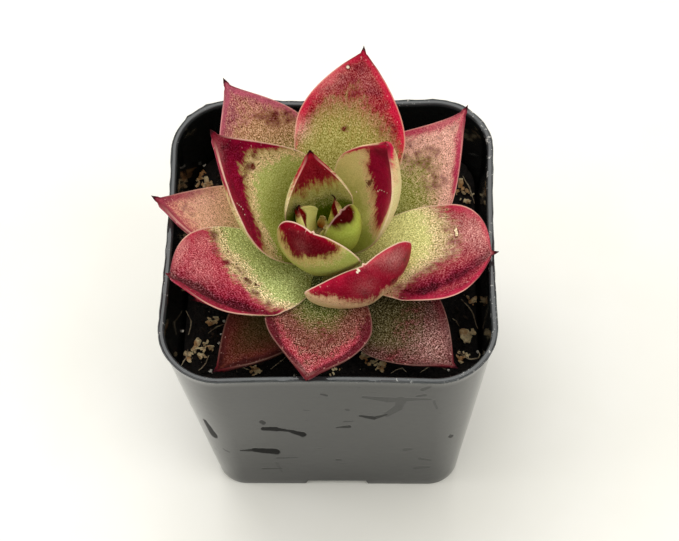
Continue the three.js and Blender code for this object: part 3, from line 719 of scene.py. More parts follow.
     "shades": [(0.82, 0.1, 2.6, 0.4)], "blooms": [(0.72, -0.7, 2.2, 0.14), (0.6, -0.95, 2.4, 0.3)],
     "seamColour": (232, 196, 150), "pushes": [(.5, -1.1, 2.2, -8), (.62, -1, 2.6, -9), (.75, -.9, 2.4, -9),
     (.88, -.7, 1.8, -8)], "edge": 1.0, "blush": 0.3, "dots": [(0.514, -0.09, 0.2, True),
     (0.367, 0.36, 0.2, True), (0.535, -0.12, 0.13, True), (0.565, -0.26, 0.13, True),
     (0.55, -0.18, 0.13, True), (0.59, -0.38, 0.13, True)], "pits": [(0.506, 0.19, 0.62, True),
     (0.53, 0.17, 0.4, True)]},
    {"form": (102.9, 1.6, 52.7, 18.7, 14.5, 70, 79, 1.2, 4.5, -3.7, 2.6, 0.52, 1.6, 0.97),
     "redFrom": (0.66, 0.6, 0.57, 0.575, 0.57, 0.6, 0.66), "underRedFrom": (.7, .74, .78, .8, .78, .74, .7),
     "green": (250, 238, 130), "heart": (72, 90, 2), "heartEnd": 0.66, "dusty": (170, 110, 70),
     "crimson": (150, 20, 38), "grainy": 0.5, "dust": 0.4, "reach": 1.6, "deep": 0.6, "fade": 1.6,
     "rim": 0.3, "rimWide": 0.2, "seam": 0.25, "underGreen": (214, 206, 146)},
    {"form": (269, 2.2, 51, 18.5, 15.8, 36, 109, 0.5, -6, -25, 3.5, 0.58, 2.6, 0.45), "point": 0.5,
     "redFrom": (.7, .7, .7, .72, .76, .84, .95), "underRedFrom": (.7, .68, .64, .72, .8, .87, 1.0),
     "green": (140, 136, 66), "underGreen": (166, 176, 88), "dusty": (160, 118, 82), "crimson": (110, 2, 22),
     "grainy": 0.35, "dust": 0.35, "reach": 3, "deep": 0.6, "fade": 1.0, "rim": 0.7, "seam": 0.25,
     "seamColour": (236, 196, 152), "edge": 0.9, "underBlooms": [(.82, -.2, 1.4, .06)], "blush": 0.18},
    {"form": (327.9, 2.4, 53.2, 13.9, 8.8, 43, 120, 0.92, -8.2, -2.2, 3.0, 0.59, 2.4, 0.7),
     "redFrom": (.9, .88, .86, .85, .86, .88, .92),
     "underRedFrom": (0.85, 0.84, 0.82, 0.775, 0.79, 0.82, 0.84), "green": (168, 170, 76),
     "underGreen": (174, 188, 80), "heart": (140, 156, 40), "heartEnd": 0.4, "dusty": (170, 110, 70),
     "crimson": (82, 3, 5), "grainy": 0.3, "dust": 0.1, "reach": 1.5, "deep": 0.7, "fade": 1.0, "rim": 0.3,
     "edge": 0.0, "wander": 0.3, "point": 0.5},
    {"form": (167.9, 0.9, 53.3, 9.6, 6.2, 64, 84, 1.1, -2, -1.4, 1.9, 0.55, 2.0, 0.9),
     "redFrom": (0.88, 0.82, 0.72, 0.56, 0.5, 0.5, 0.52), "underRedFrom": (.8, .78, .76, .74, .74, .76, .8),
     "green": (255, 255, 160), "heart": (214, 214, 112), "dusty": (170, 110, 80), "crimson": (140, 12, 18),
     "grainy": 0.3, "dust": 0.1, "reach": 1.2, "deep": 0.6, "fade": 0.8, "rim": 0.1, "edge": 0.0,
     "underGreen": (236, 232, 136), "wander": 0.5},
    {"form": (58, 1.5, 53.3, 8.8, 5.6, 50, 98, 1.0, 0, 0, 2.1, 0.56, 1.85, 0.95),
     "redFrom": (0.3, 0.34, 0.42, 0.55, 0.75, 0.9, 1.0), "underRedFrom": (.8, .8, .82, .86, .9, .95, 1.0),
     "green": (255, 244, 122), "heart": (225, 220, 120), "dusty": (180, 110, 84), "crimson": (144, 8, 20),
     "grainy": 0.3, "dust": 0.1, "reach": 1.2, "deep": 0.5, "fade": 0.9, "rim": 0.1, "edge": 0.0,
     "wander": 0.5},
]
formNames = ("azimuth", "radius", "height", "length", "width", "baseRise", "tipRise", "cup", "roll", "sweep",
             "thick", "widest", "full", "blunt")
paleMucros = (9, 10, 14, 15, 17, 18, 21, 22)  # leaves whose point isn't dark
grainShift = {"leaf": 40, "face": 1000}  # how far apart leaves and faces lie in the grain map, in millimetres


def bladeEndOf(leaf):
    return 1 - leaf.get("point", leafForm["mucroLength"]) / leaf["length"]


def halfWidth(leaf, along):
    bladeEnd = bladeEndOf(leaf)
    place = np.clip(along / bladeEnd, 0, 1)
    rising = leafForm["baseShare"] + (1 - leafForm["baseShare"]) * np.sin(
        math.pi / 2 * np.clip(place / leaf["widest"], 0, 1))
    past = np.clip((place - leaf["widest"]) / (1 - leaf["widest"]), 0, 1)
    falling = np.clip(1 - past ** leaf["full"], 0, 1) ** leaf["blunt"]
    share = np.where(place < leaf["widest"], rising, falling)
    mucro = leafForm["mucroRadius"] * np.clip((1 - along) / (1 - bladeEnd), 0, 1) ** 1.3
    return np.maximum(share * leaf["width"] / 2, mucro)


def midribDirections(leaf, along):
    rise = np.radians(leaf["baseRise"] + (leaf["tipRise"] - leaf["baseRise"]) * along)
    turn = np.radians(leaf["azimuth"] + leaf["sweep"] * along)
    return np.stack([np.cos(rise) * np.cos(turn), np.cos(rise) * np.sin(turn), np.sin(rise)], axis=-1)


def midribPlaces(leaf, along):
    steps = leafForm["midribSteps"]
    turn = math.radians(leaf["azimuth"])
    places = [np.array([plantAxis[0] + leaf["radius"] * math.cos(turn),
                        plantAxis[1] + leaf["radius"] * math.sin(turn), leaf["height"]])]
    for direction in midribDirections(leaf, (np.arange(steps) + 0.5) / steps):
        places.append(places[-1] + direction * leaf["length"] / steps)
    places = np.array(places)
    grid = np.linspace(0, 1, steps + 1)
    return np.stack([np.interp(along, grid, places[:, k]) for k in range(3)], axis=-1)


def leafStations(leaf, rows):
    # close together at the mucro, where the form turns fast
    bladeEnd = bladeEndOf(leaf)
    blade = np.linspace(0, 1, rows - 10) ** 0.93 * bladeEnd
    return np.concatenate([blade, np.linspace(bladeEnd, 0.999, 11)[1:]])


def spotField(leaf, name, along, across, half, added=False):
    total = 0 * along * across
    for place, side, radius, strength in leaf.get(name, ()):
        apart = ((along - place) * leaf["length"]) ** 2 + ((across - side) * half) ** 2
        spot = strength * np.exp(-apart / radius ** 2)
        total = total + spot if added else np.maximum(total, spot)
    return total


def foldField(leaf, along, across, half):
    # how near a place is to a fold, from 0 to 1, and how deep the fold is there in millimetres
    share = 0 * along * across
    depth = 0 * share
    for fold in leaf.get("folds", ()):
        *line, sunk, width = fold
        places = np.array(line)
        for first, second in zip(places[:-1], places[1:]):
            dx = (second[0] - first[0]) * leaf["length"]
            dy = (second[1] - first[1]) * half
            px = (along - first[0]) * leaf["length"]
            py = (across - first[1]) * half
            part = np.clip((px * dx + py * dy) / (dx * dx + dy * dy), 0, 1)
            apart = (px - part * dx) ** 2 + (py - part * dy) ** 2
            share = np.maximum(share, np.exp(-apart / width ** 2))
        depth = sunk * share
    return share, depth


def makeLeaf(row, number):
    leaf = {**row, **dict(zip(formNames, row["form"]))}
    fineness = 6 if leaf["length"] < leafForm["smallLength"] else 10
    rows = leafForm["rows"] * fineness // 10
    columns = leafForm["columns"] * fineness // 10
    along = leafStations(leaf, rows)[:, None]
    forward = midribDirections(leaf, along[:, 0])
    turn = np.radians(leaf["azimuth"] + leaf["sweep"] * along[:, 0])
    level = np.stack([-np.sin(turn), np.cos(turn), np.zeros(rows)], axis=-1)
    roll = np.radians(leaf["roll"] * np.minimum(1, along / leafForm["rollEnd"]))
    side = level * np.cos(roll) + np.cross(forward, level) * np.sin(roll)
    up = np.cross(forward, side)
    centre = midribPlaces(leaf, along[:, 0])
    half = halfWidth(leaf, along)
    cup = leaf["cup"] * np.sin(math.pi / 2 * np.minimum(1, along / leafForm["cupEnd"])) + leafForm["leastCup"]
    body = leafForm["endBody"] + (1 - leafForm["endBody"]) * np.sin(
        math.pi * np.minimum(1, along / leafForm["bodyEnd"]))
    taper = np.sqrt(np.minimum(1, leafForm["tipTaper"] * (1 - along)))
    depth = np.minimum(leaf["thick"] * body * taper, leafForm["mostDepth"] * half)
    edge = np.minimum(leafForm["edge"], depth)

    # one turn round the section: the outer face from edge to edge, then the inner face back
    step = np.arange(columns)
    there = np.sin(math.pi / 2 * (2 * step / columns - 1))
    across = np.concatenate([there, -there])[None, :]
    upper = np.concatenate([np.zeros(columns), np.ones(columns)])[None, :]
    size = np.abs(across)
    rounding = edge * np.sqrt(np.clip(1 - size ** leafForm["edgePower"], 0, 1))
    innerSwell = (1 - size ** leafForm["swellPower"]) ** leafForm["swellRound"]
    outerSwell = (1 - size ** leafForm["underPower"]) ** leafForm["swellRound"]
    toTip = smoothStep(0.5, 0.95, along) * np.clip((1 - along) * 12, 0, 1)
    crease = np.exp(-(across * half / leafForm["creaseWidth"]) ** 2) * toTip
    foldShare, foldDepth = foldField(leaf, along, across, half)
    share = leafForm["underShare"]
    inner = (1 - share) * (rounding + (depth - edge) * innerSwell) - leafForm["groove"] * crease - foldDepth
    outer = (-share * (rounding + (depth - edge) * outerSwell) - leafForm["keel"] * crease
             - leafForm["underFold"] * foldDepth)
    offset = np.where(upper > 0.5, inner, outer)
    bend = cup * across
    x = half * np.sin(bend) / cup - np.sin(bend) * offset
    y = half * (1 - np.cos(bend)) / cup + np.cos(bend) * offset
    points = centre[:, None] + side[:, None] * x[..., None] + up[:, None] * y[..., None]

    # slow ripples in the blade, the same on both faces, and none at the mucro
    flatPoints = points.reshape(-1, 3)
    shift = np.array([noise.noise(Vector(p) * 0.16 + Vector((number * 7.3, 0, 0))) for p in flatPoints])
    dimples = np.array([noise.noise(Vector(p) * 0.8 + Vector((0, number * 5.1, 0))) for p in flatPoints])
    fade = (np.clip((1 - along) * 9, 0, 1) * np.ones_like(across)).ravel()
    lift = (up[:, None] * np.ones_like(across)[..., None]).reshape(-1, 3)
    shift = (shift * leafForm["ripple"] + dimples * leafForm["dimple"]) * fade
    flatPoints = flatPoints + lift * shift[:, None]
    points = flatPoints.reshape(points.shape)

    base = centre[0] - forward[0] * leafForm["foot"]
    tip = midribPlaces(leaf, np.array([1.0]))[0]
    piece = closedLoft(f"leaf{number:02d}", points, base, tip)

    # how deep in the red a place lies, in millimetres, and how far it is from the leaf's edge
    rest = (.66, .72, .76, .78, .76, .72, .66)

    def borderOf(values):
        return np.interp(across, np.linspace(-1, 1, len(values)), values)

    isInner = upper > 0.5
    border = np.where(isInner, borderOf(leaf["redFrom"]), borderOf(leaf.get("underRedFrom", rest)))
    push = np.where(isInner, spotField(leaf, "pushes", along, across, half, True), 0)
    red = (along - border) * leaf["length"] + push
    ones = np.ones_like(red)

    def onFace(name):
        under = "under" + name[0].upper() + name[1:]
        return np.where(isInner, spotField(leaf, name, along, across, half),
                        spotField(leaf, under, along, across, half))

    def flat(name, usual):
        return leaf.get(name, usual) * ones

    mucroDark = 0.0 if number in paleMucros else 1.0
    rimShare = leaf.get("rim", 0) * (1 if "point" in leaf else smoothStep(0.95, 0.8, along))
    fields = {
        "red": red, "margin": half * (1 - size) * ones, "along": along * ones, "grainy": flat("grainy", 0.5),
        "dust": flat("dust", 0), "reach": flat("reach", 4), "deep": flat("deep", 0), "fade": flat("fade", 1),
        "rim": rimShare * ones, "rimWide": flat("rimWide", 0.24), "seam": flat("seam", 0),
        "blush": flat("blush", 0), "wander": flat("wander", 1),
        "edgeLightAndTone": flat("edge", 0.5), "heartEnd": flat("heartEnd", 0.3),
        "under": np.where(isInner, 0, 1) * ones, "fold": foldShare * upper,
        "mark": onFace("marks"), "bloom": onFace("blooms"), "scar": onFace("scars"),
        "shade": onFace("shades"),
        "mucro": smoothStep(1.5, 0.7, (1 - along) * leaf["length"]) * mucroDark * ones,
    }
    green = leaf["green"]
    paler = tuple(0.62 * part + 0.38 * other for part, other in zip(green, (214, 208, 150)))
    # the heart's green defaults to a darker green, as painted shade of the rosette's heart
    shadedHeartGreen = tuple(0.8 * part for part in green)
    tints = {
        "green": green, "underGreen": leaf.get("underGreen", paler), "heart": leaf.get("heart", shadedHeartGreen),
        "dusty": leaf["dusty"], "crimson": leaf["crimson"],
        "seamTint": leaf.get("seamColour", (228, 204, 158)),
    }
    for name, colour in tints.items():
        addTint(piece, name, linear(*colour))
    for name, values in fields.items():
        ends = [float(values[0].mean()), float(values[-1].mean())]
        addField(piece, name, np.concatenate([np.ravel(values), ends]))
    arc = half * across + grainShift["leaf"] * number + grainShift["face"] * upper
    run = along * leaf["length"] * ones
    addGrainMap(piece, np.concatenate([arc.ravel(), [0, 0]]),
                np.concatenate([run.ravel(), [0, leaf["length"]]]))
    return piece


# the pale pink of the waxy bloom also serves for the painted sheen and glints
skin = {
    "maroon": linear(86, 8, 18), "brown": linear(96, 36, 26), "cream": linear(238, 214, 176),
    "rim": linear(250, 214, 190), "darkRim": linear(96, 16, 30), "mucro": linear(48, 14, 22),
    "bloom": linear(246, 190, 178), "blush": linear(204, 100, 84), "dot": linear(244, 226, 204),
    "gamma": 2.2, "least": 0.02,
}


def shaken(tree, colour, amount):
    # grain that lightens and darkens red, green and blue alike, as the eye sees them
    seen = put(tree, "ShaderNodeGamma")
    feed(tree, seen.inputs["Color"], colour)
    seen.inputs["Gamma"].default_value = 1 / skin["gamma"]
    moved = put(tree, "ShaderNodeVectorMath", operation="ADD")
    feed(tree, moved.inputs[0], seen.outputs[0])
    feed(tree, moved.inputs[1], amount)
    kept = put(tree, "ShaderNodeVectorMath", operation="MAXIMUM")
    feed(tree, kept.inputs[0], moved.outputs[0])
    kept.inputs[1].default_value = (skin["least"],) * 3
    back = put(tree, "ShaderNodeGamma")
    feed(tree, back.inputs["Color"], kept.outputs[0])
    back.inputs["Gamma"].default_value = skin["gamma"]
    return back.outputs[0]


def skinPlace(row, number, along, across, inner):
    # where a place on a leaf lies in its grain map, in millimetres
    leaf = {**row, **dict(zip(formNames, row["form"]))}
    half = float(halfWidth(leaf, np.array(along)))
    face = grainShift["face"] if inner else 0
    return half * across + grainShift["leaf"] * number + face, along * leaf["length"], 0


def dotMask(tree, uv, name):
    # small round spots at the places that the table gives
    mask = 0.0
    for number, row in enumerate(leaves, 1):
        for place, side, radius, inner in row.get(name, ()):
            apart = put(tree, "ShaderNodeVectorMath", operation="DISTANCE")
            feed(tree, apart.inputs[0], uv)
            apart.inputs[1].default_value = skinPlace(row, number, place, side, inner)
            mask = calc(tree, "MAXIMUM", mask, ramp(tree, apart.outputs["Value"], radius, radius * 0.55))
    return mask


def leafSkin():
    material, tree, shader = newMaterial("leafSkin")
    uv = put(tree, "ShaderNodeUVMap", uv_map="grain").outputs[0]
    fleck = cloud(tree, scaled(tree, uv, 1, 0.66), 5.0, 1, 0.5)
    speck = cloud(tree, scaled(tree, uv, 1, 0.8), 1.6, 2, 0.6)
    streak = cloud(tree, scaled(tree, uv, 1, 0.2), 2.0, 2, 0.6)
    mottle = cloud(tree, uv, 0.62, 3, 0.6)
    drift = cloud(tree, uv, 0.2, 2, 0.5)
    red = field(tree, "red")
    margin = field(tree, "margin")
    dust = field(tree, "dust")
    fade = field(tree, "fade")
    along = field(tree, "along")
    grainy = field(tree, "grainy")
    texture = timesPlus(tree, speck, 0.4, fleck)
    coarse = timesPlus(tree, drift, 0.7, mottle)

    # the border of the red wanders by these, in millimetres
    wander = timesPlus(tree, drift, 2.0, red)
    shift = plus(tree, times(tree, mottle, 1.3), times(tree, streak, 1.5))
    shift = times(tree, plus(tree, texture, shift), field(tree, "wander"))
    inRed = plus(tree, calc(tree, "DIVIDE", wander, fade), shift)
    redMask = ramp(tree, inRed, -0.8, 0.9)

    # green, darker at the base: partly the leaf's own tone and partly painted shade of the rosette's heart
    depthOfHeart = calc(tree, "DIVIDE", timesPlus(tree, coarse, 0.1, along), field(tree, "heartEnd"))
    green = mixColour(tree, ramp(tree, depthOfHeart, 0.4, 1.4), tint(tree, "heart"), tint(tree, "green"))
    green = mixColour(tree, field(tree, "under"), green, tint(tree, "underGreen"))

    # pink dust that grows denser towards the red, with maroon dots in it
    nearness = ramp(tree, calc(tree, "DIVIDE", timesPlus(tree, drift, 3.0, red), field(tree, "reach")),
                    -1.0, -0.1, 0.0, 1.0, False)
    density = times(tree, nearness, dust)
    spread = timesPlus(tree, speck, 0.35, density)
    dots = ramp(tree, timesPlus(tree, fleck, 0.3, spread), 0.1, 0.95)
    green = mixColour(tree, dots, green, tint(tree, "dusty"))
    dark = times(tree, ramp(tree, texture, -0.2, -0.6, 0.0, 0.7), ramp(tree, density, 0.1, 0.8))
    green = mixColour(tree, dark, green, skin["maroon"])

    # an orange blush that runs out of the red in streaks
    outward = timesPlus(tree, streak, 1.8, inRed)
    blush = times(tree, ramp(tree, outward, -2.8, -0.4), field(tree, "blush"))

    # a pale speckled seam just outside the red
    seam = ramp(tree, calc(tree, "ABSOLUTE", plus(tree, inRed, 1.5)), 1.8, 0.2)
    seam = times(tree, seam, field(tree, "seam"))
    green = mixColour(tree, times(tree, seam, ramp(tree, texture, -0.5, 0.5, 0.4, 1.0)), green,
                      tint(tree, "seamTint"))
    crackle = timesPlus(tree, speck, 0.9, fleck)
    green = mixColour(tree, times(tree, seam, ramp(tree, crackle, -0.25, -0.55, 0.0, 0.85)), green,
                      skin["maroon"])

    green = mixColour(tree, blush, green, skin["blush"])

    # crimson, frosted with fine pink dots, darker where the table gives shades and along the folds (painted
    # shade), and brighter or darker towards the margin, partly its own tone and partly painted light and
    # shade
    nearEdge = ramp(tree, timesPlus(tree, mottle, 1.4, margin), 2.8, 0.3)
    edgeLightAndTone = times(tree, nearEdge, field(tree, "edgeLightAndTone"))
    depth = timesPlus(tree, coarse, 0.5, field(tree, "deep"))
    depth = plus(tree, depth, field(tree, "shade"))
    depth = timesPlus(tree, field(tree, "fold"), 0.8, depth)
    depth = calc(tree, "SUBTRACT", depth, times(tree, edgeLightAndTone, 0.9))
    crimson = lit(tree, tint(tree, "crimson"), ramp(tree, depth, -0.7, 1.3, 1.75, 0.2, False))
    frost = calc(tree, "MAXIMUM", timesPlus(tree, dust, 0.7, -0.21), 0.0)
    frost = times(tree, frost, ramp(tree, texture, -0.4, 0.4))
    frost = times(tree, frost, ramp(tree, depth, 0.9, 0.1))
    frost = times(tree, frost, ramp(tree, nearEdge, 0.2, 0.8, 1.0, 0.12))
    crimson = mixColour(tree, frost, crimson, lit(tree, tint(tree, "dusty"), 1.15))
    colour = mixColour(tree, redMask, green, crimson)

    # dark blotches, and pale bloom with painted sheen in it, in the places that the table gives
    blotch = ramp(tree, plus(tree, field(tree, "mark"), plus(tree, texture, mottle)), 0.3, 0.75)
    colour = mixColour(tree, times(tree, blotch, ramp(tree, field(tree, "mark"), 0.05, 0.3, 0.0, 0.85)),
                       colour, skin["maroon"])
    bloom = times(tree, field(tree, "bloom"), ramp(tree, texture, -0.8, 0.4, 0.3, 1.0))
    colour = mixColour(tree, bloom, colour, skin["bloom"])
    scar = timesPlus(tree, speck, 0.7, field(tree, "scar"))
    colour = mixColour(tree, ramp(tree, scar, 0.3, 0.55), colour, skin["brown"])
    colour = mixColour(tree, ramp(tree, scar, 0.6, 0.8), colour, skin["cream"])

    # painted highlights: short pale glints in the red beside the edge
    paintedGlint = ramp(tree, cloud(tree, scaled(tree, uv, 1, 0.5), 2.3, 1, 0.5), 0.34, 0.5)
    paintedGlint = times(tree, paintedGlint, ramp(tree, margin, 3.2, 0.8))
    paintedGlint = times(tree, paintedGlint, times(tree, redMask, 0.45))
    colour = mixColour(tree, paintedGlint, colour, skin["bloom"])

    colour = mixColour(tree, times(tree, dotMask(tree, uv, "pits"), 0.85), colour, skin["brown"])

    # the skin is finely pitted, less so beside the edge of the red, and most in the seam
    calm = times(tree, timesPlus(tree, nearEdge, 0.55, 0.2), times(tree, redMask, -1.0))
    rough = plus(tree, plus(tree, calm, 1.0), times(tree, seam, 0.5))
    rough = times(tree, rough, grainy)
    colour = shaken(tree, colour, times(tree, times(tree, texture, rough), 0.32))

    colour = mixColour(tree, dotMask(tree, uv, "dots"), colour, skin["dot"])
    width = timesPlus(tree, mottle, 0.25, 1.0)
    line = calc(tree, "DIVIDE", margin, times(tree, field(tree, "rimWide"), width))
    onLine = ramp(tree, line, 1.3, 0.35)
    colour = mixColour(tree, times(tree, onLine, ramp(tree, along, 0.8, 0.92, 0.0, 0.6)), colour,
                       skin["darkRim"])
    colour = mixColour(tree, times(tree, onLine, field(tree, "rim")), colour, skin["rim"])
    colour = mixColour(tree, field(tree, "mucro"), colour, skin["mucro"])
    feed(tree, shader.inputs["Base Color"], colour)

    feed(tree, shader.inputs["Roughness"], ramp(tree, redMask, 0, 1, 0.5, 0.38))
    shader.inputs["Specular IOR Level"].default_value = 0.05
    shader.inputs["Specular Tint"].default_value = (1.0, 0.4, 0.5, 1.0)
    shader.inputs["Subsurface Weight"].default_value = 0.05
    shader.inputs["Subsurface Radius"].default_value = (0.0012, 0.0007, 0.0003)
    shader.inputs["Subsurface Scale"].default_value = 1.0
    bumped(tree, shader, times(tree, texture, rough), 0.35, 0.00004)
    return material


# the two youngest tips, which stand where the bud is
budSkin = {
    "point": 0.3, "green": (222, 214, 140), "underGreen": (222, 214, 140), "heart": (196, 112, 50),
    "heartEnd": 0.75, "dusty": (190, 110, 60), "crimson": (170, 60, 40), "redFrom": (1.2, 1.2),
    "underRedFrom": (1.2, 1.2),
}
budTips = [
    {"form": (60, 0.7, 53.6, 5.0, 2.2, 80, 96, 0.9, 0, 0, 1.0, 0.5, 1.8, 0.9), **budSkin},
    {"form": (318, 0.75, 53.4, 5.0, 2.4, 78, 94, 0.9, 0, 0, 1.0, 0.5, 1.8, 0.9), **budSkin},
]
leafMaterial = leafSkin()
for number, leaf in enumerate(leaves, 1):
    finishPiece(makeLeaf(leaf, number), leafMaterial, [f"leaf_{number:02d}"])
for number, leaf in enumerate(budTips, len(leaves) + 1):
    finishPiece(makeLeaf(leaf, number), leafMaterial, ["bud"] if leaf is budTips[0] else [])
print("leaves made")


# Soil and the crumbs on it

soilGround = {
    "level": 41.0, "relief": 0.9, "waveShare": 0.35, "clearance": 0.3, "rings": 70, "rough": 0.6,
    "hole": 3.6, "holeSlack": 0.4, "holeShape": ((3.2, 38.5), (2.8, 33), (1.8, 28)), "holeEnd": 26.1,
    "footHeight": 0.6, "patchSteps": 40, "patchInset": 1.5, "patchEdge": 0.6, "patchCorner": 10.6,
    "cornerCentre": 14, "stemGap": 5,
    "crumbs": 2600, "crumbSize": 0.00042, "crumbSeed": 7, "bits": 240, "bitSize": 0.0006, "bitSeed": 12,
    "specks": 360, "speckSize": 0.00017, "speckSeed": 31,
}


def soilHeight(x, y):
    waves = np.sin(0.31 * x + 1.2) * np.cos(0.27 * y - 0.4) + 0.6 * np.sin(0.55 * y + 0.3 * x)
    return soilGround["level"] + soilGround["relief"] * soilGround["waveShare"] * waves


def soilTop(x, y):
    lump = noise.fractal(Vector((x * 0.45, y * 0.45, 2.0)), 0.8, 2.0, 5)
    return float(soilHeight(x, y)) + soilGround["rough"] * lump


def makeSoil():
    level = soilGround["level"]
    clear = soilGround["clearance"]
    inset = pot["wall"] + clear + pot["lipDepth"] / 2
    outerRing = potRing(level, inset)
    angle = np.arctan2(outerRing[:, 1] - plantAxis[1], outerRing[:, 0] - plantAxis[0])
    stemPlace = np.array(plantAxis)
    innerRing = np.stack([stemPlace[0] + soilGround["hole"] * np.cos(angle),
                          stemPlace[1] + soilGround["hole"] * np.sin(angle), np.full(len(angle), level)],
                         axis=-1)
    parts = np.linspace(0, 1, soilGround["rings"]) ** 0.85
    top = outerRing[None] * parts[:, None, None] + innerRing[None] * (1 - parts[:, None, None])
    for ring in top:
        for point in ring:
            point[2] = soilTop(point[0], point[1])
    bottom = pot["floor"] + clear
    lowest = potRing(bottom + soilGround["footHeight"], inset)
    foot = potRing(bottom, pot["wall"] + clear + soilGround["footHeight"])
    hole = []
    for radius, height in soilGround["holeShape"]:
        ring = innerRing.copy()
        spread = (ring[:, :2] - stemPlace) * (radius + soilGround["holeSlack"]) / soilGround["hole"]
        ring[:, :2] = stemPlace + spread
        ring[:, 2] = height
        hole.append(ring)
    rings = np.concatenate([[foot, lowest], top[::-1], hole])
    return closedLoft("soilBed", rings, (0, 0, bottom), (*plantAxis, soilGround["holeEnd"]))


def soilMaterial():
    material, tree, shader = newMaterial("peat")
    place = objectPlace(tree)
    crumb = cloud(tree, place, 900, 4, 0.7)
    broad = cloud(tree, place, 160, 3, 0.5)
    colour = mixColour(tree, ramp(tree, crumb, -0.3, 0.5), (0.0025, 0.0020, 0.0018), (0.016, 0.011, 0.008))
    colour = mixColour(tree, ramp(tree, broad, 0.1, 0.5), colour, (0.006, 0.0045, 0.004))
    feed(tree, shader.inputs["Base Color"], colour)
    shader.inputs["Roughness"].default_value = 0.8
    shader.inputs["Specular IOR Level"].default_value = 0.3
    bumped(tree, shader, crumb, 0.9, 0.0006)
    return material


def crumbMaterial(name, dark, light, roughness):
    material, tree, shader = newMaterial(name)
    place = objectPlace(tree)
    patch = cloud(tree, place, 420, 2, 0.6)
    grain = cloud(tree, place, 2600, 2, 0.6)
    colour = mixColour(tree, ramp(tree, patch, -0.35, 0.45), dark, light)
    colour = mixColour(tree, times(tree, ramp(tree, grain, 0.0, 0.6), 0.5), colour, dark)
    feed(tree, shader.inputs["Base Color"], colour)
    shader.inputs["Roughness"].default_value = roughness
    shader.inputs["Specular IOR Level"].default_value = 0.3
    bumped(tree, shader, grain, 0.5, 0.0001)
    return material


def scatterTree(name, material, stretch):
    # scatters small lumps over the selected faces: count, size and seed are inputs
    tree = bpy.data.node_groups.new(name, "GeometryNodeTree")
    face = tree.interface
    face.new_socket("Geometry", in_out="INPUT", socket_type="NodeSocketGeometry")
    face.new_socket("Density", in_out="INPUT", socket_type="NodeSocketFloat")
    face.new_socket("Size", in_out="INPUT", socket_type="NodeSocketFloat")
    face.new_socket("Seed", in_out="INPUT", socket_type="NodeSocketInt")
    face.new_socket("Geometry", in_out="OUTPUT", socket_type="NodeSocketGeometry")
    given = tree.nodes.new("NodeGroupInput").outputs
    made = tree.nodes.new("NodeGroupOutput").inputs
    spread = put(tree, "GeometryNodeDistributePointsOnFaces")
    ball = put(tree, "GeometryNodeMeshIcoSphere")
    ball.inputs["Subdivisions"].default_value = 1
    ball.inputs["Radius"].default_value = 1
    roll = put(tree, "FunctionNodeRandomValue", data_type="FLOAT_VECTOR")
    roll.inputs[0].default_value = (0, 0, 0)
    fullTurn = 6.283
    roll.inputs[1].default_value = (fullTurn, fullTurn, fullTurn)
    grow = put(tree, "FunctionNodeRandomValue", data_type="FLOAT_VECTOR")
    grow.inputs[0].default_value = (0.35, 0.35, 0.3)
    grow.inputs[1].default_value = stretch
    sized = put(tree, "ShaderNodeVectorMath", operation="SCALE")
    place = put(tree, "GeometryNodeInstanceOnPoints")
    real = put(tree, "GeometryNodeRealizeInstances")
    ruffle = put(tree, "GeometryNodeSetPosition")
    where = put(tree, "GeometryNodeInputPosition")
    grain = put(tree, "ShaderNodeTexNoise")
    grain.inputs["Scale"].default_value = 2600
    centred = put(tree, "ShaderNodeVectorMath", operation="SUBTRACT")
    centred.inputs[1].default_value = (0.5, 0.5, 0.5)
    rough = put(tree, "ShaderNodeVectorMath", operation="SCALE")
    coat = put(tree, "GeometryNodeSetMaterial")
    coat.inputs["Material"].default_value = material
    link = tree.links.new
    link(given["Geometry"], spread.inputs["Mesh"])
    link(given["Density"], spread.inputs["Density"])
    link(given["Seed"], spread.inputs["Seed"])
    link(given["Seed"], roll.inputs["Seed"])
    link(given["Seed"], grow.inputs["Seed"])
    link(grow.outputs[0], sized.inputs[0])
    link(given["Size"], sized.inputs["Scale"])
    link(spread.outputs["Points"], place.inputs["Points"])
    link(ball.outputs["Mesh"], place.inputs["Instance"])
    link(roll.outputs[0], place.inputs["Rotation"])
    link(sized.outputs[0], place.inputs["Scale"])
    link(place.outputs[0], real.inputs[0])
    link(real.outputs[0], ruffle.inputs["Geometry"])
    link(where.outputs[0], grain.inputs["Vector"])
    link(grain.outputs["Color"], centred.inputs[0])
    link(centred.outputs[0], rough.inputs[0])
    link(given["Size"], rough.inputs["Scale"])
    link(rough.outputs[0], ruffle.inputs["Offset"])
    link(ruffle.outputs[0], coat.inputs["Geometry"])
    link(coat.outputs[0], made["Geometry"])
    return tree


def groundPatch():
    # the open soil that crumbs lie on, kept a little inside the wall
    ring = potRing(soilGround["level"], pot["wall"] + soilGround["patchInset"])
    steps = soilGround["patchSteps"]
    half = pot["rimSide"] / 2
    grid = np.linspace(-half, half, steps)
    points = [(x, y, soilTop(x, y)) for y in grid for x in grid]
    edge = ring[:, 0].max() - soilGround["patchEdge"]
    middle = soilGround["cornerCentre"]
    faces = []
    for row in range(steps - 1):
        for column in range(steps - 1):
            x, y = grid[column] + half / steps, grid[row] + half / steps
            corner = math.hypot(max(abs(x) - middle, 0), max(abs(y) - middle, 0))
            isOpen = max(abs(x), abs(y)) < edge and corner < soilGround["patchCorner"]
            if isOpen and math.hypot(x - plantAxis[0], y - plantAxis[1]) > soilGround["stemGap"]:
                start = row * steps + column
                faces.append((start, start + 1, start + steps + 1, start + steps))
    return addMesh("groundPatch", points, faces)


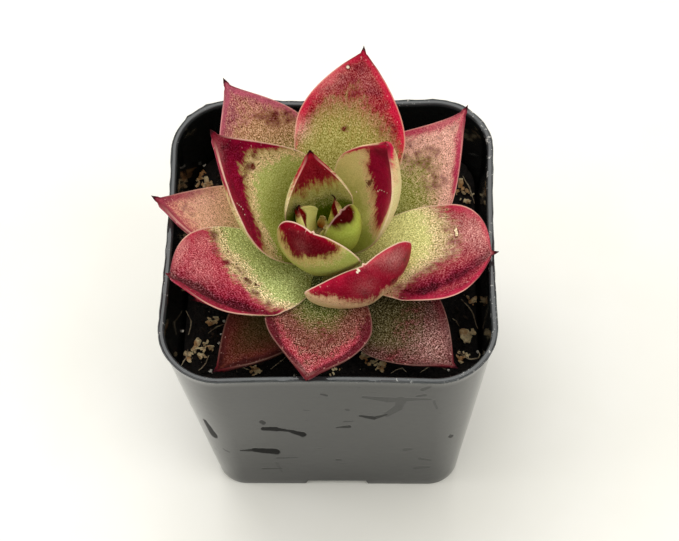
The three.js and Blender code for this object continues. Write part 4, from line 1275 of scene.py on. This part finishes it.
def scatter(name, ground, tree, count, size, seed):
    piece = bpy.data.objects.new(name, ground.data.copy())
    bpy.context.scene.collection.objects.link(piece)
    modifier = piece.modifiers.new("scatter", "NODES")
    modifier.node_group = tree
    area = sum(face.area for face in ground.data.polygons)
    values = {"Density": count / area, "Size": size, "Seed": seed}
    for socket in tree.interface.items_tree:
        if socket.in_out == "INPUT" and socket.name in values:
            modifier[socket.identifier] = values[socket.name]
    bpy.context.view_layer.update()
    evaluated = piece.evaluated_get(bpy.context.evaluated_depsgraph_get())
    mesh = bpy.data.meshes.new_from_object(evaluated)
    piece.modifiers.clear()
    piece.data = mesh
    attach(piece, "root")
    return piece


soil = makeSoil()
finishPiece(soil, soilMaterial(), ["soil"])
ground = groundPatch()
peatCrumb = crumbMaterial("peatCrumb", (0.0022, 0.0018, 0.0016), (0.014, 0.009, 0.006), 0.75)
barkCrumb = crumbMaterial("barkCrumb", (0.012, 0.007, 0.004), (0.07, 0.042, 0.024), 0.7)
scatter("peatCrumbs", ground, scatterTree("scatterPeat", peatCrumb, (1.0, 1.0, 0.9)),
        soilGround["crumbs"], soilGround["crumbSize"], soilGround["crumbSeed"])
scatter("barkBits", ground, scatterTree("scatterBark", barkCrumb, (1.7, 0.7, 0.5)),
        soilGround["bits"], soilGround["bitSize"], soilGround["bitSeed"])
paleSpeck = crumbMaterial("paleSpeck", (0.09, 0.07, 0.05), (0.5, 0.42, 0.32), 0.7)
scatter("paleSpecks", ground, scatterTree("scatterSpecks", paleSpeck, (1.6, 0.7, 0.6)),
        soilGround["specks"], soilGround["speckSize"], soilGround["speckSeed"])
bpy.data.objects.remove(ground)


# Husk flakes, fibres and grit on the soil

# x, y, length, width and turn, in millimetres and degrees: the large ones are the solids' chips
flakes = [
    (-23.2, -14.4, 2.2, 1.3, 70), (-21.2, -15.4, 1.7, 1.1, 15), (-22.6, -17.2, 1.7, 1.0, 120),
    (-20.6, -10.2, 2.8, 0.9, 20), (-24.4, -17.9, 1.6, 1.0, 100), (-12.6, -19.6, 1.8, 1.0, 15),
    (6.2, -16.7, 3.0, 1.9, 30), (8.2, -16.0, 1.3, 1.0, 75), (8.9, -18.6, 1.6, 1.1, -20),
    (23.8, -12.7, 3.7, 2.7, 10), (22.6, -17.6, 1.5, 0.9, 55), (-23.4, 18.8, 2.8, 1.6, 100),
    (-22.4, 16.2, 2.3, 1.4, 35), (23.0, 18.6, 2.2, 1.2, 85), (24.2, 14.6, 2.0, 1.1, -35),
    (-8.0, 23.2, 2.4, 1.5, 0), (12.5, 23.6, 2.0, 1.3, 60),
]
# x, y, spread and count of small husk bits
huskHeaps = [
    (-22.3, -15.7, 1.9, 16), (-20.7, -10.1, 1.1, 6), (-25.0, -17.0, 0.9, 5), (-12.7, -19.5, 1.2, 8),
    (7.4, -17.3, 1.5, 9), (8.9, -18.8, 1.0, 6), (24.2, -13.0, 1.2, 5), (23.0, -17.2, 1.3, 6),
    (-23.6, 17.9, 1.6, 9), (-24.9, 20.6, 1.4, 7), (23.6, 17.0, 1.8, 7), (24.8, -5.5, 1.4, 5),
    (-25.2, -3.0, 1.4, 5), (0.5, -20.8, 1.6, 4), (17.0, 23.0, 2.0, 6), (-15.0, 23.4, 2.0, 6),
    (25.0, 6.0, 1.5, 5), (-25.3, 6.5, 1.5, 5),
]
# the places that a fibre passes, x, y and height above the soil, then its thickness
fibres = [
    [(-17.2, -19.2, 0.5), (-15.6, -19.5, 0.9), (-13.9, -19.6, 0.5), 0.13],
    [(-10.4, -19.3, 0.3), (-8.6, -18.4, 1.1), (-7.6, -17.2, 0.9), 0.12],
    [(-25.8, -19.0, 0.5), (-24.9, -17.5, 0.9), (-24.8, -15.8, 0.5), 0.13],
    [(-22.6, -20.2, 0.4), (-21.4, -18.6, 1.2), (-21.0, -17.2, 0.6), 0.12],
    [(22.1, -16.1, 0.5), (24.2, -18.0, 0.8), (26.0, -17.2, 0.7), (25.6, -15.7, 0.4), 0.13],
    [(23.5, 20.2, 0.4), (24.8, 17.2, 1.0), (25.5, 14.0, 0.5), 0.12],
    [(21.2, -9.4, 0.4), (21.9, -10.0, 0.9), (22.4, -11.0, 0.4), 0.1],
    [(22.8, -5.6, 0.4), (24.6, -8.2, 1.3), (25.6, -11.8, 0.6), 0.11],
    [(10.5, -20.0, 0.3), (12.3, -19.2, 0.8), (13.2, -19.9, 0.4), 0.1],
    [(-1.5, -20.4, 0.3), (-3.2, -19.5, 0.9), (-5.0, -20.0, 0.4), 0.1],
    [(15.5, -20.1, 0.3), (17.8, -19.0, 1.0), (19.9, -19.7, 0.4), 0.12],
    [(-24.6, 14.0, 0.4), (-23.4, 16.4, 1.1), (-24.2, 19.0, 0.5), 0.12],
    [(-21.5, -12.4, 0.4), (-20.0, -11.5, 1.2), (-18.7, -10.6, 0.6), 0.13],
    [(-25.6, -8.0, 0.4), (-24.4, -10.4, 0.9), (-24.9, -12.8, 0.4), 0.1],
    [(25.4, 1.0, 0.4), (24.2, 3.4, 1.0), (25.0, 6.2, 0.4), 0.11],
    [(-24.8, 2.0, 0.4), (-25.4, 5.0, 0.9), (-24.0, 8.0, 0.4), 0.11],
]
# x, y and half the length of a grain
grit = [
    (-18.8, -10.0, 0.33), (-19.5, -14.2, 0.3), (-20.5, -20.2, 0.42), (25.5, -16.1, 0.3), (-19.2, -12.6, 0.25),
    (11.5, -17.9, 0.25), (24.6, -19.4, 0.3), (-25.9, -12.2, 0.25), (20.4, -19.9, 0.25), (-24.0, 22.6, 0.35),
    (22.0, 22.8, 0.3), (-6.2, -20.6, 0.25),
]
flakeForm = {
    "rows": 5, "columns": 7, "tilt": 0.9, "pitch": 0.7, "curl": (0.2, 0.9), "thin": 0.16, "thickShare": 0.12,
    "ragged": 0.35, "rough": 0.04, "lift": 0.45, "firstSeed": 100,
}
heapForm = {
    "seed": 5, "countShare": 1.6, "length": (0.4, 1.15), "widthShare": (0.4, 0.9), "lift": 0.3, "pile": 0.6,
    "wallHalf": 25.6, "wallCorner": 8.2, "cornerPull": 0.75,
}
gritForm = {"lengthShare": 2, "widthShare": 1.7, "turn": 40, "firstSeed": 300, "lift": 0.5}
fibreForm = {"rows": 15, "columns": 7, "smoothings": 3, "thinning": 0.45}


def flakePoints(x, y, length, width, turn, seed, lift):
    # a thin curled flake with a ridged skin, as a closed loft along its length
    dice = np.random.default_rng(seed)
    rows, columns = flakeForm["rows"], flakeForm["columns"]
    tilt = dice.uniform(-flakeForm["tilt"], flakeForm["tilt"])
    pitch = dice.uniform(-flakeForm["pitch"], flakeForm["pitch"])
    curl = dice.uniform(*flakeForm["curl"])
    thick = flakeForm["thin"] + flakeForm["thickShare"] * width
    rough = flakeForm["rough"]
    rings = []
    for row in range(rows):
        along = (row + 0.5) / rows * 2 - 1
        across = math.sqrt(1 - abs(along) ** 2.6)
        ragged = 1 + dice.uniform(-flakeForm["ragged"], flakeForm["ragged"])
        angles = np.arange(columns) * 2 * math.pi / columns
        u = np.cos(angles) * width / 2 * across * ragged
        v = np.sin(angles) * thick / 2 * (0.6 + 0.4 * across) + dice.uniform(-rough, rough, columns)
        v = v - curl * u ** 2 / max(width, 0.5) + 0.12 * curl * along ** 2
        rings.append(np.stack([np.full(columns, along * length / 2), u, v], axis=-1))
    rings = np.array(rings)
    turned = Matrix.Rotation(math.radians(turn), 3, "Z") @ Matrix.Rotation(pitch, 3, "Y")
    turned = turned @ Matrix.Rotation(tilt, 3, "X")
    rings = rings @ np.array(turned).T
    return rings + np.array([x, y, soilTop(x, y) + lift])


def joinLofts(name, lofts, smooth=True):
    # many closed lofts as one mesh
    points, quads, caps = [], [], []
    start = 0
    for rings in lofts:
        rows, columns = rings.shape[:2]
        points += [rings.reshape(-1, 3), [rings[0].mean(axis=0), rings[-1].mean(axis=0)]]
        quads.append(ringFaces(rows, columns) + start)
        caps += endCaps(start, rows, columns)
        start += rows * columns + 2
    piece = addMesh(name, np.concatenate(points), np.concatenate(quads), smooth)
    addTriangles(piece, caps, smooth)
    return piece


def huskMaterial():
    material, tree, shader = newMaterial("husk")
    place = objectPlace(tree)
    patch = cloud(tree, place, 500, 2, 0.6)
    ridges = cloud(tree, scaled(tree, place, 1, 3.2, 1), 1500, 2, 0.6)
    colour = mixColour(tree, ramp(tree, patch, -0.4, 0.3), linear(192, 136, 82), linear(255, 236, 188))
    colour = mixColour(tree, times(tree, ramp(tree, ridges, 0.05, 0.5), 0.6), colour, linear(80, 50, 30))
    feed(tree, shader.inputs["Base Color"], colour)
    shader.inputs["Roughness"].default_value = 0.75
    shader.inputs["Specular IOR Level"].default_value = 0.25
    bumped(tree, shader, ridges, 0.7, 0.0002)
    return material


def keptInside(rings):
    # a bit that would run into the pot's wall is moved in
    half, corner = heapForm["wallHalf"], heapForm["wallCorner"]
    for axis in (0, 1):
        beyond = max(0.0, rings[..., axis].max() - half)
        rings[..., axis] -= beyond - max(0.0, -half - rings[..., axis].min())
    away = np.maximum(np.abs(rings[..., :2]) - (half - corner), 0)
    over = np.hypot(away[..., 0], away[..., 1]).max() - corner
    if over > 0:
        rings[..., :2] -= np.sign(rings[..., :2].mean(axis=(0, 1))) * over * heapForm["cornerPull"]
    return rings


def makeHusks():
    lofts = [keptInside(flakePoints(*flake, flakeForm["firstSeed"] + index, flakeForm["lift"]))
             for index, flake in enumerate(flakes)]
    dice = np.random.default_rng(heapForm["seed"])
    for x, y, spread, count in huskHeaps:
        for bit in range(round(heapForm["countShare"] * count)):
            away = spread * math.sqrt(dice.uniform(0, 1))
            angle = dice.uniform(0, 2 * math.pi)
            length = dice.uniform(*heapForm["length"])
            px, py = x + away * math.cos(angle), y + away * math.sin(angle)
            lift = heapForm["lift"] + heapForm["pile"] * (1 - away / spread)
            width = length * dice.uniform(*heapForm["widthShare"])
            turn = dice.uniform(0, 180)
            seed = int(dice.integers(1e6))
            lofts.append(keptInside(flakePoints(px, py, length, width, turn, seed, lift)))
    return joinLofts("barkChips", lofts, False)


def fibreRings(line):
    *places, thick = line
    rows, columns = fibreForm["rows"], fibreForm["columns"]
    places = np.array(places, dtype=float)
    grid = np.linspace(0, 1, len(places))
    fine = np.linspace(0, 1, rows)
    smooth = np.stack([np.interp(fine, grid, places[:, k]) for k in range(3)], axis=-1)
    for _ in range(fibreForm["smoothings"]):
        smooth[1:-1] = (smooth[:-2] + 2 * smooth[1:-1] + smooth[2:]) / 4
    smooth[:, 2] += [soilTop(x, y) for x, y, _ in smooth]
    angles = np.arange(columns) * 2 * math.pi / columns
    middle = rows // 2
    rings = []
    for index, point in enumerate(smooth):
        ahead = smooth[min(index + 1, rows - 1)] - smooth[max(index - 1, 0)]
        ahead = ahead / np.linalg.norm(ahead)
        side = np.cross(ahead, (0, 0, 1))
        side = side / np.linalg.norm(side)
        over = np.cross(side, ahead)
        radius = thick * (1 - fibreForm["thinning"] * abs(index / middle - 1))
        rings.append(point + radius * (np.cos(angles)[:, None] * side + np.sin(angles)[:, None] * over))
    return np.array(rings)


fibre = patchyMaterial("rootFibre", (700, 2, 0.6), linear(110, 92, 72), linear(206, 190, 158), 0.65, 0.3)
paleGrit = patchyMaterial("paleGrit", (1200, 2, 0.6), linear(196, 188, 172), linear(244, 240, 230), 0.6)
finishPiece(makeHusks(), huskMaterial())
finishPiece(joinLofts("rootFibres", [fibreRings(line) for line in fibres]), fibre)
stones = []
for number, (x, y, size) in enumerate(grit):
    stones.append(flakePoints(x, y, gritForm["lengthShare"] * size, gritForm["widthShare"] * size,
                              gritForm["turn"] * number, gritForm["firstSeed"] + number, gritForm["lift"]))
finishPiece(joinLofts("gritGrains", stones), paleGrit)


# Stem, which keeps the solid's own mesh

stem = frame["nodes"]["stem"]
stem.data.materials.clear()
stem.data.materials.append(patchyMaterial("stemBark", (1200, 3, 0.6), linear(96, 78, 48),
                                          linear(150, 134, 84), 0.75, stretch=0.4, relief=0.6))

print("soil and stem made")
